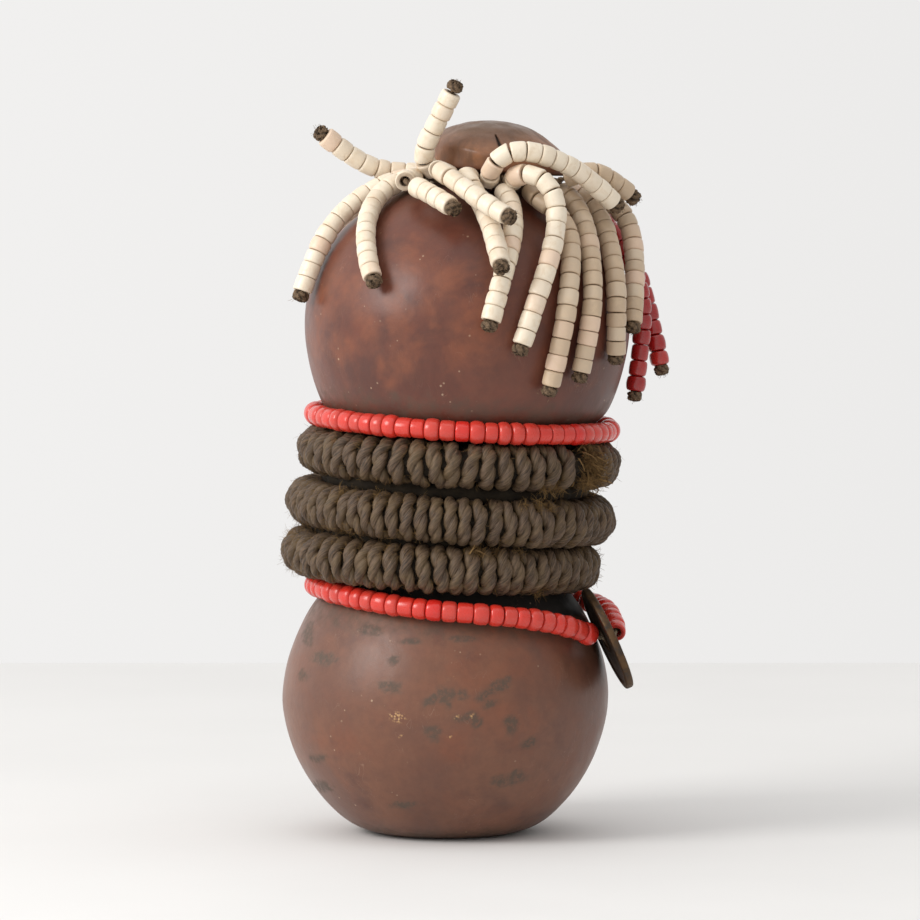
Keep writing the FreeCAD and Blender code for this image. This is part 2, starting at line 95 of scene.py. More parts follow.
# Of each strand: body, length of its beads and bare length before them (hundredths of a
# millimetre), stiffness, lay, and the route from the neck binding to the knot
LIMP, STIFF, MEDIUM = ("limp", "hanging"), ("stiff", "loose"), ("medium", "loose")
STRANDS = {
    "white_strand_01": ("strand_left_1", 360, 700, LIMP, [
        (-61, -16, 1884), (-160, -25, 1872), (-253, -50, 1833), (-337, -98, 1763),
        (-399, -135, 1662), (-439, -156, 1543)]),
    "white_strand_02": ("strand_left_2", 360, 700, LIMP, [
        (-53, -58, 1883), (-158, -90, 1873), (-230, -146, 1819), (-257, -270, 1740),
        (-244, -380, 1634), (-228, -406, 1596)]),
    "white_strand_03": ("strand_left_3", 400, 700, STIFF, [
        (-60, 30, 1885), (-155, 42, 1886), (-220, 36, 1894), (-296, 10, 1930), (-384, -15, 2000)]),
    "white_strand_04": ("strand_upright", 380, 740, STIFF, [
        (-24, -112, 1879), (-90, -152, 1906), (-87, -182, 1968), (-53, -198, 2034),
        (-2, -218, 2136)]),
    "white_strand_05": ("strand_turned", 400, 1140, STIFF, [
        (-41, -86, 1882), (-126, -140, 1876), (-150, -220, 1870), (-96, -288, 1850),
        (-36, -354, 1818), (-6, -390, 1799)]),
    "white_strand_06": ("front_bunch", 440, 640, MEDIUM, [
        (12, -147, 1870), (-52, -224, 1902), (-42, -282, 1900), (8, -344, 1867), (84, -424, 1812),
        (150, -478, 1778)]),
    "white_strand_07": ("front_bunch", 420, 660, LIMP, [
        (56, -169, 1870), (24, -248, 1890), (46, -298, 1858), (80, -340, 1792), (109, -442, 1722),
        (127, -528, 1640)]),
    "white_strand_08": ("front_bunch", 410, 940, LIMP, [
        (128, -177, 1864), (128, -232, 1850), (158, -292, 1808), (162, -368, 1740),
        (149, -430, 1673), (126, -472, 1597), (94, -498, 1476)]),
    "white_strand_09": ("front_bunch", 390, 760, STIFF, [
        (94, -177, 1867), (94, -232, 1870), (100, -278, 1908), (138, -292, 1950),
        (202, -288, 1958), (280, -262, 1934), (365, -214, 1888), (456, -160, 1798)]),
    "white_strand_10": ("strand_right_arch", 390, 1060, MEDIUM, [
        (239, -124, 1854), (306, -159, 1874), (376, -144, 1898), (446, -106, 1870),
        (504, -64, 1818)]),
    "white_strand_11": ("front_bunch", 460, 680, LIMP, [
        (162, -170, 1862), (159, -250, 1876), (186, -292, 1892), (232, -316, 1886),
        (271, -336, 1848), (286, -348, 1778), (269, -400, 1676), (236, -449, 1576),
        (180, -476, 1408)]),
    "white_strand_12": ("strand_front_12", 460, 600, LIMP, [
        (198, -154, 1857), (222, -234, 1826), (290, -256, 1780), (324, -300, 1712),
        (322, -378, 1612), (302, -424, 1450), (262, -416, 1290)]),
    "white_strand_13": ("strand_right_13", 390, 520, LIMP, [
        (269, -76, 1848), (312, -112, 1834), (344, -166, 1796), (372, -240, 1720),
        (386, -324, 1606), (382, -362, 1484), (348, -368, 1326)]),
    "white_strand_14": ("strand_right_14", 385, 640, LIMP, [
        (279, -36, 1848), (340, -54, 1836), (408, -90, 1776), (440, -172, 1674),
        (454, -246, 1566), (452, -264, 1474), (452, -250, 1370)]),
    "white_strand_15": ("strand_right_15", 370, 660, LIMP, [
        (283, 6, 1847), (350, 22, 1830), (430, 22, 1809), (484, -6, 1766), (508, -44, 1684),
        (508, -124, 1566), (500, -170, 1454)]),
    "white_strand_16": ("strand_back_16", 390, 600, LIMP, [
        (110, 176, 1866), (110, 270, 1842), (80, 384, 1760), (50, 478, 1610), (30, 504, 1450)]),
    "white_strand_17": ("strand_back_17", 390, 640, LIMP, [
        (2, 135, 1878), (-80, 204, 1866), (-200, 294, 1784), (-274, 364, 1648), (-294, 394, 1500)]),
    "white_strand_18": ("strand_back_18", 390, 680, LIMP, [
        (-46, 78, 1884), (-142, 136, 1874), (-274, 174, 1800), (-374, 200, 1682),
        (-430, 214, 1536)]),
    "red_strand_01": ("red_right_1", 420, 640, LIMP, [
        (278, 46, 1848), (346, 82, 1814), (420, 82, 1756), (484, 70, 1666), (530, 84, 1550),
        (536, 86, 1456), (527, 82, 1360), (512, 72, 1246)]),
    "red_strand_02": ("red_right_2", 420, 700, LIMP, [
        (260, 88, 1850), (349, 146, 1806), (458, 178, 1714), (524, 202, 1596), (564, 200, 1460),
        (592, 182, 1314)]),
    "red_strand_03": ("red_back_3", 420, 700, LIMP, [
        (198, 149, 1856), (276, 250, 1810), (344, 344, 1686), (364, 386, 1530), (344, 388, 1364)]),
}

# The one strand with a bare stretch of thong between its beads: where it starts and ends
BARE = {"white_strand_05": (0.0200, 0.0232)}


def metres(rows):
    """Points in metres from points in tenths of a millimetre."""
    return [tuple(value / 10000 for value in row) for row in rows]


# ---- camera and lights ----


def look_at(place, target):
    """World matrix of a camera or light that looks from one point at another."""
    turn = (target - place).to_track_quat("-Z", "Y")
    return Matrix.Translation(place) @ turn.to_matrix().to_4x4()


def linked(name, data):
    item = bpy.data.objects.new(name, data)
    bpy.context.scene.collection.objects.link(item)
    return item


def make_camera():
    camera = linked("camera", bpy.data.cameras.new("camera"))
    camera.data.lens = CAMERA_LENS
    camera.data.sensor_width = SENSOR_WIDTH
    camera.data.clip_start = 0.05
    camera.data.clip_end = 20.0
    camera.matrix_world = look_at(CAMERA_PLACE, CAMERA_TARGET)
    bpy.context.scene.camera = camera


def area_light(name, place, target, size, power, colour):
    light = linked(name, bpy.data.lights.new(name, "AREA"))
    light.data.size = size
    light.data.energy = power
    light.data.color = colour
    light.matrix_world = look_at(Vector(place), Vector(target))


make_camera()

# ---- angles, directions and smooth lines ----


def round_angles(count, closed=False):
    """Evenly spaced angles of a full turn, with the first again at the end when closed."""
    return np.linspace(0, FULL_TURN, count, endpoint=closed)


def leaning_axis(lean):
    """Upward unit vector that leans towards +X."""
    return Vector((math.sin(lean), 0, math.cos(lean)))


def ring_point(angle, reach=1.0, rise=0.0):
    """Point at an angle and distance round Z, and at a height."""
    return Vector((reach * math.cos(angle), reach * math.sin(angle), rise))


def ball_point(angle, rise):
    """Unit vector at an angle round Z and a rise above level."""
    return Vector((math.cos(angle) * math.cos(rise), math.sin(angle) * math.cos(rise),
                   math.sin(rise)))


def unit_rows(rows):
    return rows / np.linalg.norm(rows, axis=1)[:, None]


def distances_along(points):
    steps = np.linalg.norm(np.diff(points, axis=0), axis=1)
    return np.concatenate([[0.0], np.cumsum(steps)])


def square_sides(heading, across):
    """Unit sides square to a heading, as near as can be to the given ones, and their partners."""
    side = unit_rows(across - heading * np.sum(across * heading, axis=1)[:, None])
    return side, np.cross(heading, side)


class Line:
    """Place, heading and length along a chain of points."""

    def __init__(self, points):
        self.points = np.array(points, float)
        steps = np.linalg.norm(np.diff(self.points, axis=0), axis=1)
        keep = np.concatenate([[True], steps > SAME_PLACE])
        self.points = self.points[keep]
        self.along = distances_along(self.points)
        self.length = float(self.along[-1])
        self.headings = unit_rows(np.gradient(self.points, self.along, axis=0))

    def places(self, distances):
        return np.stack([np.interp(distances, self.along, self.points[:, k]) for k in range(3)], 1)

    def heads(self, distances):
        return unit_rows(np.stack(
            [np.interp(distances, self.along, self.headings[:, k]) for k in range(3)], 1))

    def at(self, distance):
        where = np.array([distance])
        return Vector(self.places(where)[0]), Vector(self.heads(where)[0])


def line_through(points, cyclic=False):
    """Line of a NURBS spline whose control points are the given points."""
    data = bpy.data.curves.new("route", "CURVE")
    data.dimensions = "3D"
    data.resolution_u = 24
    spline = data.splines.new("NURBS")
    spline.points.add(len(points) - 1)
    for control, place in zip(spline.points, points):
        control.co = (*place, 1.0)
    spline.use_cyclic_u = cyclic
    spline.order_u = 3
    spline.use_endpoint_u = not cyclic
    curve = linked("route", data)
    graph = bpy.context.evaluated_depsgraph_get()
    mesh = bpy.data.meshes.new_from_object(curve.evaluated_get(graph))
    found = [vertex.co.copy() for vertex in mesh.vertices]
    bpy.data.meshes.remove(mesh)
    bpy.data.objects.remove(curve)
    return Line(found + [found[0]] if cyclic else found)


def frames(points):
    """Heading and two side directions at every point, without needless twist."""
    heading = unit_rows(np.gradient(points, axis=0))
    side = np.zeros_like(points)
    start = np.cross(heading[0], [0.0, 0.0, 1.0])
    if np.linalg.norm(start) < 0.1:
        start = np.cross(heading[0], [0.0, 1.0, 0.0])
    side[0] = start / np.linalg.norm(start)
    for index in range(1, len(points)):
        moved = side[index - 1] - heading[index] * np.dot(side[index - 1], heading[index])
        side[index] = moved / np.linalg.norm(moved)
    return heading, side, np.cross(heading, side)


# ---- meshes ----


class Build:
    """Collects vertices, faces and a four-number paint for each vertex."""

    def __init__(self):
        self.vertices = []
        self.faces = []
        self.paints = []
        self.count = 0

    def add(self, vertices, faces, paint):
        self.vertices.append(vertices)
        self.faces.extend(tuple(index + self.count for index in face) for face in faces)
        self.paints.append(paint)
        self.count += len(vertices)

    def grid(self, rows, paint=None, start_cap=False, end_cap=False):
        """Quads over a (rows, columns, 3) array that closes round its columns."""
        rows = np.asarray(rows, float)
        count, columns = rows.shape[:2]
        vertices = rows.reshape(-1, 3)
        paint = np.zeros((len(vertices), 4)) if paint is None else paint.reshape(-1, 4)
        faces = grid_faces(count, columns)
        for wanted, first, turn in ((start_cap, 0, -1), (end_cap, (count - 1) * columns, 1)):
            if wanted:
                pole = len(vertices)
                ring = range(first, first + columns)
                vertices = np.vstack([vertices, rows[first // columns].mean(0)])
                paint = np.vstack([paint, paint[first]])
                pairs = [(at, first + (at - first + 1) % columns) for at in ring]
                faces += [(pole, *pair[::turn]) for pair in pairs]
        self.add(vertices, faces, paint)

    def piece(self, name, body, material, replaces=()):
        mesh = bpy.data.meshes.new(name)
        mesh.from_pydata(np.vstack(self.vertices).tolist(), [], self.faces)
        paint = mesh.color_attributes.new("paint", "FLOAT_COLOR", "POINT")
        paint.data.foreach_set("color", np.vstack(self.paints).astype(np.float32).ravel())
        mesh.shade_smooth()
        mesh.materials.append(material)
        item = linked(name, mesh)
        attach(item, body)
        if replaces:
            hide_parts(*replaces)
        return item


def grid_faces(count, columns):
    faces = []
    for low in range(0, (count - 1) * columns, columns):
        for k in range(columns):
            after = (k + 1) % columns
            faces.append((low + k, low + after, low + columns + after, low + columns + k))
    return faces


def painted(rows, *channels):
    """Paint of a grid from up to four numbers or arrays."""
    paint = np.zeros((*rows.shape[:2], 4))
    for index, value in enumerate(channels):
        paint[..., index] = value
    return paint


def tube_rows(points, radii, sides, across=None):
    """Rings of vertices round a line; across gives the direction of the first vertex."""
    points = np.asarray(points, float)
    heading, side, other = frames(points)
    if across is not None:
        side, other = square_sides(heading, across)
    radii = np.broadcast_to(np.asarray(radii, float), (len(points),))
    angles = round_angles(sides)
    ring = (np.cos(angles)[None, :, None] * side[:, None, :]
            + np.sin(angles)[None, :, None] * other[:, None, :])
    return points[:, None, :] + ring * radii[:, None, None]


def fbm(place, scale, octaves=3):
    """Layered noise at a point, from about -1 to 1."""
    return noise.fractal(Vector(place) * scale, 0.6, 2.1, octaves, noise_basis="PERLIN_ORIGINAL")

# ---- materials ----


class Shader:
    """One procedural material, built node by node."""

    def __init__(self, name):
        self.material = bpy.data.materials.new(name)
        self.material.use_nodes = True
        self.tree = self.material.node_tree
        self.tree.nodes.clear()
        output = self.tree.nodes.new("ShaderNodeOutputMaterial")
        self.surface = self.tree.nodes.new("ShaderNodeBsdfPrincipled")
        self.tree.links.new(self.surface.outputs[0], output.inputs[0])
        self.place = self.tree.nodes.new("ShaderNodeTexCoord").outputs["Object"]
        paint = self.tree.nodes.new("ShaderNodeAttribute")
        paint.attribute_name = "paint"
        parts = self.node("ShaderNodeSeparateColor", {0: paint.outputs["Color"]})
        self.paint = [*parts.outputs[:3], paint.outputs["Alpha"]]

    def put(self, socket, value):
        if isinstance(value, bpy.types.NodeSocket):
            self.tree.links.new(value, socket)
        elif socket.type == "RGBA":
            socket.default_value = (*value, 1.0)
        else:
            socket.default_value = value

    def node(self, kind, inputs, **settings):
        item = self.tree.nodes.new(kind)
        for key, value in settings.items():
            setattr(item, key, value)
        for key, value in inputs.items():
            self.put(item.inputs[key], value)
        return item

    def noise(self, scale, detail=4.0, roughness=0.55, source=None, warp=0.0):
        inputs = {"Vector": source or self.place, "Scale": scale, "Detail": detail,
                  "Roughness": roughness, "Distortion": warp}
        return self.node("ShaderNodeTexNoise", inputs).outputs[0]

    def streaks(self, stretch, turn, *noise_settings):
        """Noise in coordinates scaled by three numbers and turned."""
        inputs = {"Vector": self.place, "Scale": stretch, "Rotation": turn}
        scale, detail, roughness, warp = noise_settings
        source = self.node("ShaderNodeMapping", inputs).outputs[0]
        return self.noise(scale, detail, roughness, source, warp)

    def cells(self, scale):
        inputs = {"Vector": self.place, "Scale": scale}
        return self.node("ShaderNodeTexVoronoi", inputs).outputs[0]

    def ramp(self, value, low, high, start=0.0, end=1.0):
        """Smooth step of a value from low to high."""
        inputs = {0: value, 1: low, 2: high, 3: start, 4: end}
        return self.node("ShaderNodeMapRange", inputs, interpolation_type="SMOOTHSTEP").outputs[0]

    def patches(self, scale, low, high, detail=4.0, roughness=0.55, warp=0.0):
        """Soft patches: 0 where noise is under the low value and 1 where it is over the high."""
        return self.ramp(self.noise(scale, detail, roughness, warp=warp), low, high)

    def mix(self, factor, first, second):
        item = self.node("ShaderNodeMix", {}, data_type="RGBA")
        for index, value in ((0, factor), (6, first), (7, second)):
            self.put(item.inputs[index], value)
        return item.outputs[2]

    def layers(self, colour, *layers):
        """Lays colours over a colour: each has a mask, the share it takes there and a colour."""
        for mask, share, over in layers:
            colour = self.mix(self.times(mask, share), colour, over)
        return colour

    def math(self, kind, *values):
        return self.node("ShaderNodeMath", dict(enumerate(values)), operation=kind).outputs[0]

    def times(self, first, second):
        return self.math("MULTIPLY", first, second)

    def total(self, *terms):
        """Sum of terms, each a value and its weight."""
        value, weight = terms[0]
        found = self.times(value, weight)
        for value, weight in terms[1:]:
            found = self.math("ADD", found, self.times(value, weight))
        return found

    def bump(self, height, distance, strength):
        inputs = {"Height": height, "Distance": distance, "Strength": strength}
        return self.node("ShaderNodeBump", inputs).outputs[0]

    def finish(self, colour, roughness, normal=None, **fixed):
        values = {"Base_Color": colour, "Roughness": roughness, **fixed}
        if normal is not None:
            values["Normal"] = normal
        for key, value in values.items():
            self.put(self.surface.inputs[key.replace("_", " ")], value)
        return self.material


def scratches(shader, scale, turn, width):
    """Thin curved lines: 1 on a line and 0 away from it."""
    value = shader.streaks((1, 1, 0.35), turn, scale, 2.0, 0.5, 0.6)
    away = shader.math("ABSOLUTE", shader.math("SUBTRACT", value, 0.5))
    return shader.ramp(away, width, 0.0)


def gourd_material():
    """paint: orange patches, dark marks, pale crumbs, grime and painted shade (half: dusty
    darkening, dirt and painted shade by the rings and coils, darker at the foot and mouth; full:
    near-black painted shade under the coils and inside).
    """
    s = Shader("gourd_skin")
    orange, marks, crumbs, grime_and_shade = s.paint
    height = s.node("ShaderNodeSeparateXYZ", {0: s.place}).outputs[2]
    upper = s.ramp(height, 0.060, 0.115)
    broad = s.patches(34.0, 0.34, 0.66, 5.0, 0.6, 0.4)
    red = s.mix(broad, (0.088, 0.027, 0.018), (0.150, 0.045, 0.026))
    brown = s.mix(broad, (0.140, 0.060, 0.038), (0.190, 0.080, 0.045))
    blotch = s.noise(80.0, 6.0, 0.60, warp=1.0)
    glow = s.times(orange, s.ramp(blotch, 0.20, 0.62, 0.25, 0.70))
    mottle = s.patches(420.0, 0.35, 0.7, 5.0, 0.65)
    dark = s.times(marks, s.patches(650.0, 0.25, 0.60, 4.0, 0.7))
    # dusty darkening by the rings and coils, which is dirt and painted shade, and at the foot and
    # mouth
    dirt_and_shade = s.times(s.ramp(grime_and_shade, 0.0, 0.5), s.patches(260.0, 0.25, 0.7, 5.0, 0.65))
    # near-black painted shade under the coils and inside the gourd
    black_shade = s.ramp(grime_and_shade, 0.55, 0.95)
    lines = s.times(s.math("MAXIMUM", scratches(s, 260.0, (0.4, 0.2, 0.9), 0.0035),
                           scratches(s, 170.0, (1.1, 0.7, 0.2), 0.0025)),
                    s.patches(95.0, 0.50, 0.68, 3.0))
    dots = s.times(s.ramp(s.cells(420.0), 0.16, 0.10), s.patches(130.0, 0.58, 0.66, 3.0))
    crumb = s.times(crumbs, s.ramp(s.cells(1500.0), 0.62, 0.3))
    colour = s.layers(
        s.mix(upper, brown, red),
        (s.ramp(blotch, 0.40, 0.72), 0.40, (0.185, 0.066, 0.036)),
        (glow, s.ramp(upper, 0.0, 1.0, 0.55, 1.0), (0.225, 0.068, 0.030)),
        (s.patches(62.0, 0.52, 0.74, 5.0, 0.6, 0.3), 0.55, (0.070, 0.030, 0.025)),
        (mottle, 0.18, (0.070, 0.034, 0.025)),
        (dark, 0.75, (0.072, 0.060, 0.045)),
        (dirt_and_shade, 0.75, (0.085, 0.060, 0.042)),
        (black_shade, 1.0, (0.012, 0.009, 0.007)),
        (lines, 0.30, (0.42, 0.27, 0.19)),
        (dots, 0.6, (0.50, 0.36, 0.24)),
        (crumb, 1.0, (0.52, 0.30, 0.13)))
    rough = s.total((s.ramp(blotch, 0.2, 0.8, 0.34, 0.47), 1.0), (dark, 0.28), (dirt_and_shade, 0.28),
                    (black_shade, 0.4))
    relief = s.total((s.noise(900.0, 4.0, 0.6), 0.30), (mottle, 0.30), (dark, 0.5),
                     (lines, -0.4), (crumb, 2.0))
    return s.finish(colour, rough, s.bump(relief, 0.00012, 0.55), Specular_IOR_Level=0.40,
                    Coat_Weight=0.10, Coat_Roughness=0.32)


def stopper_material():
    """paint: crack, darker under the brim, rubbed top."""
    s = Shader("stopper_wood")
    crack, under, top, _ = s.paint
    grain = s.streaks((1.0, 1.0, 0.16), (0.0, 0.2, 0.0), 260.0, 6.0, 0.65, 0.5)
    broad = s.noise(85.0, 4.0, 0.6, warp=0.5)
    speck = s.noise(1100.0, 5.0, 0.7)
    colour = s.layers(
        s.mix(s.ramp(broad, 0.35, 0.65), (0.180, 0.082, 0.043), (0.300, 0.135, 0.066)),
        (s.ramp(grain, 0.42, 0.72), 0.60, (0.110, 0.056, 0.034)),
        (top, s.ramp(broad, 0.2, 0.7, 0.40, 0.90), (0.098, 0.052, 0.024)),
        (s.ramp(speck, 0.5, 0.75), 0.30, (0.27, 0.165, 0.10)),
        (under, 0.6, (0.11, 0.035, 0.025)),
        (crack, 1.0, (0.012, 0.008, 0.006)))
    rough = s.total((s.ramp(grain, 0.3, 0.75, 0.34, 0.55), 1.0), (crack, 0.4))
    relief = s.total((grain, 0.5), (speck, 0.3))
    return s.finish(colour, rough, s.bump(relief, 0.0001, 0.6), Specular_IOR_Level=0.30,
                    Coat_Weight=0.13, Coat_Roughness=0.13)


def fibre_material(name, dark, light, dust, dust_share, rough, crevice_shade=0.0):
    """paint: two numbers round the yarn, distance along it, and how deep the place lies; deep
    places get dust and, by the crevice share, painted shade.
    """
    s = Shader(name)
    around, beside, along, deep = s.paint
    source = s.node("ShaderNodeCombineXYZ", {0: around, 1: beside, 2: along}).outputs[0]
    hair = s.noise(4.2, 5.0, 0.65, source, 0.3)
    speck = s.noise(1600.0, 3.0, 0.7)
    dusty = s.times(s.ramp(deep, 0.15, 0.8), s.patches(330.0, 0.3, 0.65, 4.0, 0.7))
    colour = s.layers(
        s.mix(s.ramp(hair, 0.35, 0.68), dark, light),
        (s.patches(210.0, 0.4, 0.7, 4.0, 0.6), 0.35, dust),
        (dusty, dust_share, dust),
        (s.ramp(speck, 0.62, 0.8), 0.3, dust),
        # painted shade in the crevices, by the crevice share
        (s.ramp(deep, 0.45, 1.0), crevice_shade, tuple(value * 0.45 for value in dark)))
    relief = s.total((hair, 1.0), (speck, 0.35), (s.noise(620.0, 3.0, 0.6), 0.8))
    return s.finish(colour, s.ramp(hair, 0.2, 0.8, rough - 0.14, rough + 0.1),
                    s.bump(relief, 0.00024, 0.85), Specular_IOR_Level=0.3)


def bead_material(name, colours, stain, rim_colour, rough, coat, rim_share, odd_from):
    """paint: two random numbers of the bead, nearness to its rim, inside of the bore."""
    s = Shader(name)
    first, second, rim, bore = s.paint
    cloud = s.noise(330.0, 4.0, 0.6, warp=0.6)
    speck = s.noise(1500.0, 4.0, 0.7)
    worn = s.times(s.ramp(rim, 0.6, 1.0), s.ramp(s.noise(700.0, 3.0, 0.6), 0.2, 0.6, 0.4, 1.0))
    colour = s.layers(
        s.mix(s.ramp(first, 0.15, 0.85), colours[0], colours[1]),
        (s.ramp(second, odd_from, odd_from + 0.12), 0.8, colours[2]),
        (s.ramp(cloud, 0.45, 0.75), 0.5, stain),
        (s.ramp(speck, 0.64, 0.78), 0.45, rim_colour),
        (worn, rim_share, rim_colour),
        (bore, 0.85, (0.10, 0.06, 0.035)))
    rough = s.total((s.ramp(cloud, 0.3, 0.7, rough - 0.06, rough + 0.08), 1.0), (worn, 0.15))
    relief = s.total((cloud, 0.4), (speck, 0.5))
    return s.finish(colour, rough, s.bump(relief, 0.00006, 0.5), Specular_IOR_Level=0.5,
                    Coat_Weight=coat, Coat_Roughness=0.2)


def bronze_material():
    """paint: rubbed edge, recessed field."""
    s = Shader("bronze")
    edge, field, _, _ = s.paint
    cloud = s.noise(240.0, 5.0, 0.65, warp=0.5)
    speck = s.noise(1300.0, 4.0, 0.7)
    rubbed = s.times(edge, s.patches(500.0, 0.3, 0.65, 4.0, 0.6))
    colour = s.layers(
        s.mix(s.ramp(cloud, 0.35, 0.7), (0.022, 0.014, 0.009), (0.055, 0.034, 0.020)),
        (rubbed, 0.75, (0.150, 0.088, 0.045)),
        (field, s.ramp(cloud, 0.3, 0.7), (0.028, 0.024, 0.018)),
        (s.ramp(speck, 0.6, 0.75), 0.4, (0.10, 0.085, 0.055)))
    relief = s.total((cloud, 1.0), (speck, 0.5))
    return s.finish(colour, s.ramp(cloud, 0.3, 0.75, 0.42, 0.62), s.bump(relief, 0.00012, 0.6),
                    Metallic=s.ramp(rubbed, 0.0, 0.8, 0.35, 0.85))


def seed_material():
    s = Shader("seed")
    cloud = s.noise(600.0, 5.0, 0.6)
    colour = s.mix(s.ramp(cloud, 0.35, 0.65), (0.20, 0.11, 0.055), (0.34, 0.21, 0.11))
    return s.finish(colour, s.ramp(cloud, 0.3, 0.7, 0.4, 0.6), s.bump(cloud, 0.0002, 0.5))


def floor_material():
    s = Shader("floor")
    cloud = s.noise(8.0, 3.0, 0.5)
    colour = s.mix(s.ramp(cloud, 0.3, 0.7), (0.79, 0.785, 0.775), (0.81, 0.805, 0.795))
    return s.finish(colour, s.ramp(cloud, 0.3, 0.7, 0.75, 0.85))


GOURD = gourd_material()
WOOD = stopper_material()
BRONZE = bronze_material()
SEED = seed_material()
# The last number is the share of painted shade in the crevices
WRAP = fibre_material("wrap_cord", (0.029, 0.018, 0.011), (0.162, 0.105, 0.067),
                      (0.180, 0.118, 0.050), 0.60, 0.52, 0.92)
# Near-black fibre of the coil cores and packing: painted shade in the gaps between the wraps and
# coils
SHADED_CORE = fibre_material("core_fibre", (0.006, 0.004, 0.003), (0.022, 0.015, 0.008),
                      (0.030, 0.020, 0.009), 0.5, 0.9)
TUFT = fibre_material("tuft_fibre", (0.095, 0.050, 0.017), (0.31, 0.185, 0.068),
                      (0.19, 0.115, 0.042), 0.4, 0.85)
# The last number is the share of painted shade in the crevices
THONG = fibre_material("thong", (0.038, 0.023, 0.014), (0.33, 0.22, 0.13),
                       (0.17, 0.108, 0.060), 0.4, 0.7, 0.75)
BINDING = fibre_material("binding_cord", (0.080, 0.055, 0.034), (0.26, 0.19, 0.12),
                         (0.15, 0.11, 0.07), 0.5, 0.8)
STRING = fibre_material("bead_string", (0.12, 0.085, 0.05), (0.30, 0.23, 0.15),
                        (0.18, 0.13, 0.08), 0.4, 0.8)
WHITE = bead_material(
    "white_bead", [(0.84, 0.735, 0.585), (0.54, 0.405, 0.275), (0.76, 0.56, 0.42)],
    (0.66, 0.50, 0.33), (0.36, 0.225, 0.12), 0.40, 0.12, 0.52, 0.83)
CORAL = bead_material(
    "coral_bead", [(0.64, 0.033, 0.019), (0.59, 0.044, 0.028), (0.64, 0.012, 0.008)],
    (0.53, 0.025, 0.016), (0.27, 0.012, 0.009), 0.26, 0.30, 0.55, 0.88)
DEEP_RED = bead_material(
    "deep_red_bead", [(0.42, 0.013, 0.012), (0.33, 0.007, 0.007), (0.50, 0.030, 0.022)],
    (0.28, 0.008, 0.008), (0.12, 0.004, 0.004), 0.26, 0.5, 0.7, 0.8)

# ---- beads and strands ----


# Of each kind of bead: radius, most bulge, range of the rounding of its rims
WHITE_BEAD = (BEAD_RADIUS, 0.00010, (0.13, 0.26))
RED_BEAD = (RED_BEAD_RADIUS, 0.00022, (0.22, 0.34))
CORAL_BEAD = (BEAD_RADIUS, 0.00030, (0.18, 0.32))
# Of each two-ply cord: distance of a ply from the middle, radius of a ply, length of a twist
THONG_PLY = (0.00038, 0.00050, 0.0036)
STRING_PLY = (0.00026, 0.00034, 0.0026)
BINDING_PLY = (0.00034, 0.00042, 0.0031)
PATH_STEP = 0.0005  # length of a step along a thong
BEAD_CREEP = 0.0028  # how much nearer the root the beads start than in the CAD
# Beads of strands rooted further right are browner and darker: painted shade on the side away from
# the key light
SHADED_FROM = 0.0180  # strands rooted further right have browner beads
PALER_FROM = 0.0090  # those rooted between here and there have the palest
FIRST_BEAD = 0.0042  # least bare thong at the root of a strand
FACE_FIT = 0.8  # how closely bead faces follow the bends of a strand
RIM_STEPS = 5  # rings in the rounding of a rim
BORE_LIP = 0.00035  # most rounding at the mouth of a bore
LENGTH_SPREAD = 0.10  # how much longer or shorter a bead of a strand may be
MOST_STRETCH = 1.13  # most that the beads of a strand are lengthened
BEAD_LEAN, BEAD_OVAL, BEAD_SKEW = 0.016, 0.012, 0.02
STRAND_SIDES, CORAL_SIDES = 26, 28  # vertices round a bead
YARN_PAINT = 150.0  # how fast the paint changes along a yarn, per metre
RING_PATH = 420  # places along the string of a bead ring
KNOT_MOST = 1.10  # most that a lump of a knot stands out
KNOT_LUMPS, KNOT_RIBS = 0.26, 0.08
KNOT_RINGS, KNOT_SIDES = 26, 44
KNOT_LOOPS, KNOT_TUFTS = 3, 12
KNOT_HALF = 0.54 * KNOT_LENGTH
LOOP_YARN = (0.0, 0.00042, 0.0024)  # yarn of the loops on a knot, like the two-ply cords
KNOT_HAIR = 0.00006
HITCH_YARN = 0.00048


def bead_rows(radius, length, sides, rim_round, bulge):
    """Rings of one bored bead about Z, with how near each ring is to a rim or in the bore."""
    half = length / 2
    bore = BEAD_BORE
    profile = []
    for step in range(RIM_STEPS + 1):
        angle = math.pi / 2 * step / RIM_STEPS
        profile.append((radius - rim_round + rim_round * math.sin(angle),
                        -half + rim_round - rim_round * math.cos(angle)))
    for share in (0.25, 0.5, 0.75):
        height = (-half + rim_round) * (1 - share) + (half - rim_round) * share
        profile.append((radius, height))
    profile += [(r, -z) for r, z in profile[RIM_STEPS::-1]]
    lip = min(rim_round, BORE_LIP)
    outline = [(bore, -half + lip * 1.5), (bore + lip * 0.4, -half + lip * 0.4),
               (bore + lip, -half)] + profile
    outline += [(bore + lip, half), (bore + lip * 0.4, half - lip * 0.4),
                (bore, half - lip * 1.5)]
    rows, rims = [], []
    angles = round_angles(sides)
    for r, z in outline:
        swell = bulge * (1 - (z / half) ** 2) if r > radius - rim_round else 0.0
        reach = r + swell
        rows.append(np.stack([reach * np.cos(angles), reach * np.sin(angles),
                              np.full(sides, z)], 1))
        rims.append((min(1.0, abs(z) / half) ** 9 if r > bore + lip else 1.0,
                     1.0 if r < bore + lip * 0.7 else 0.0))
    return np.array(rows), np.array(rims)


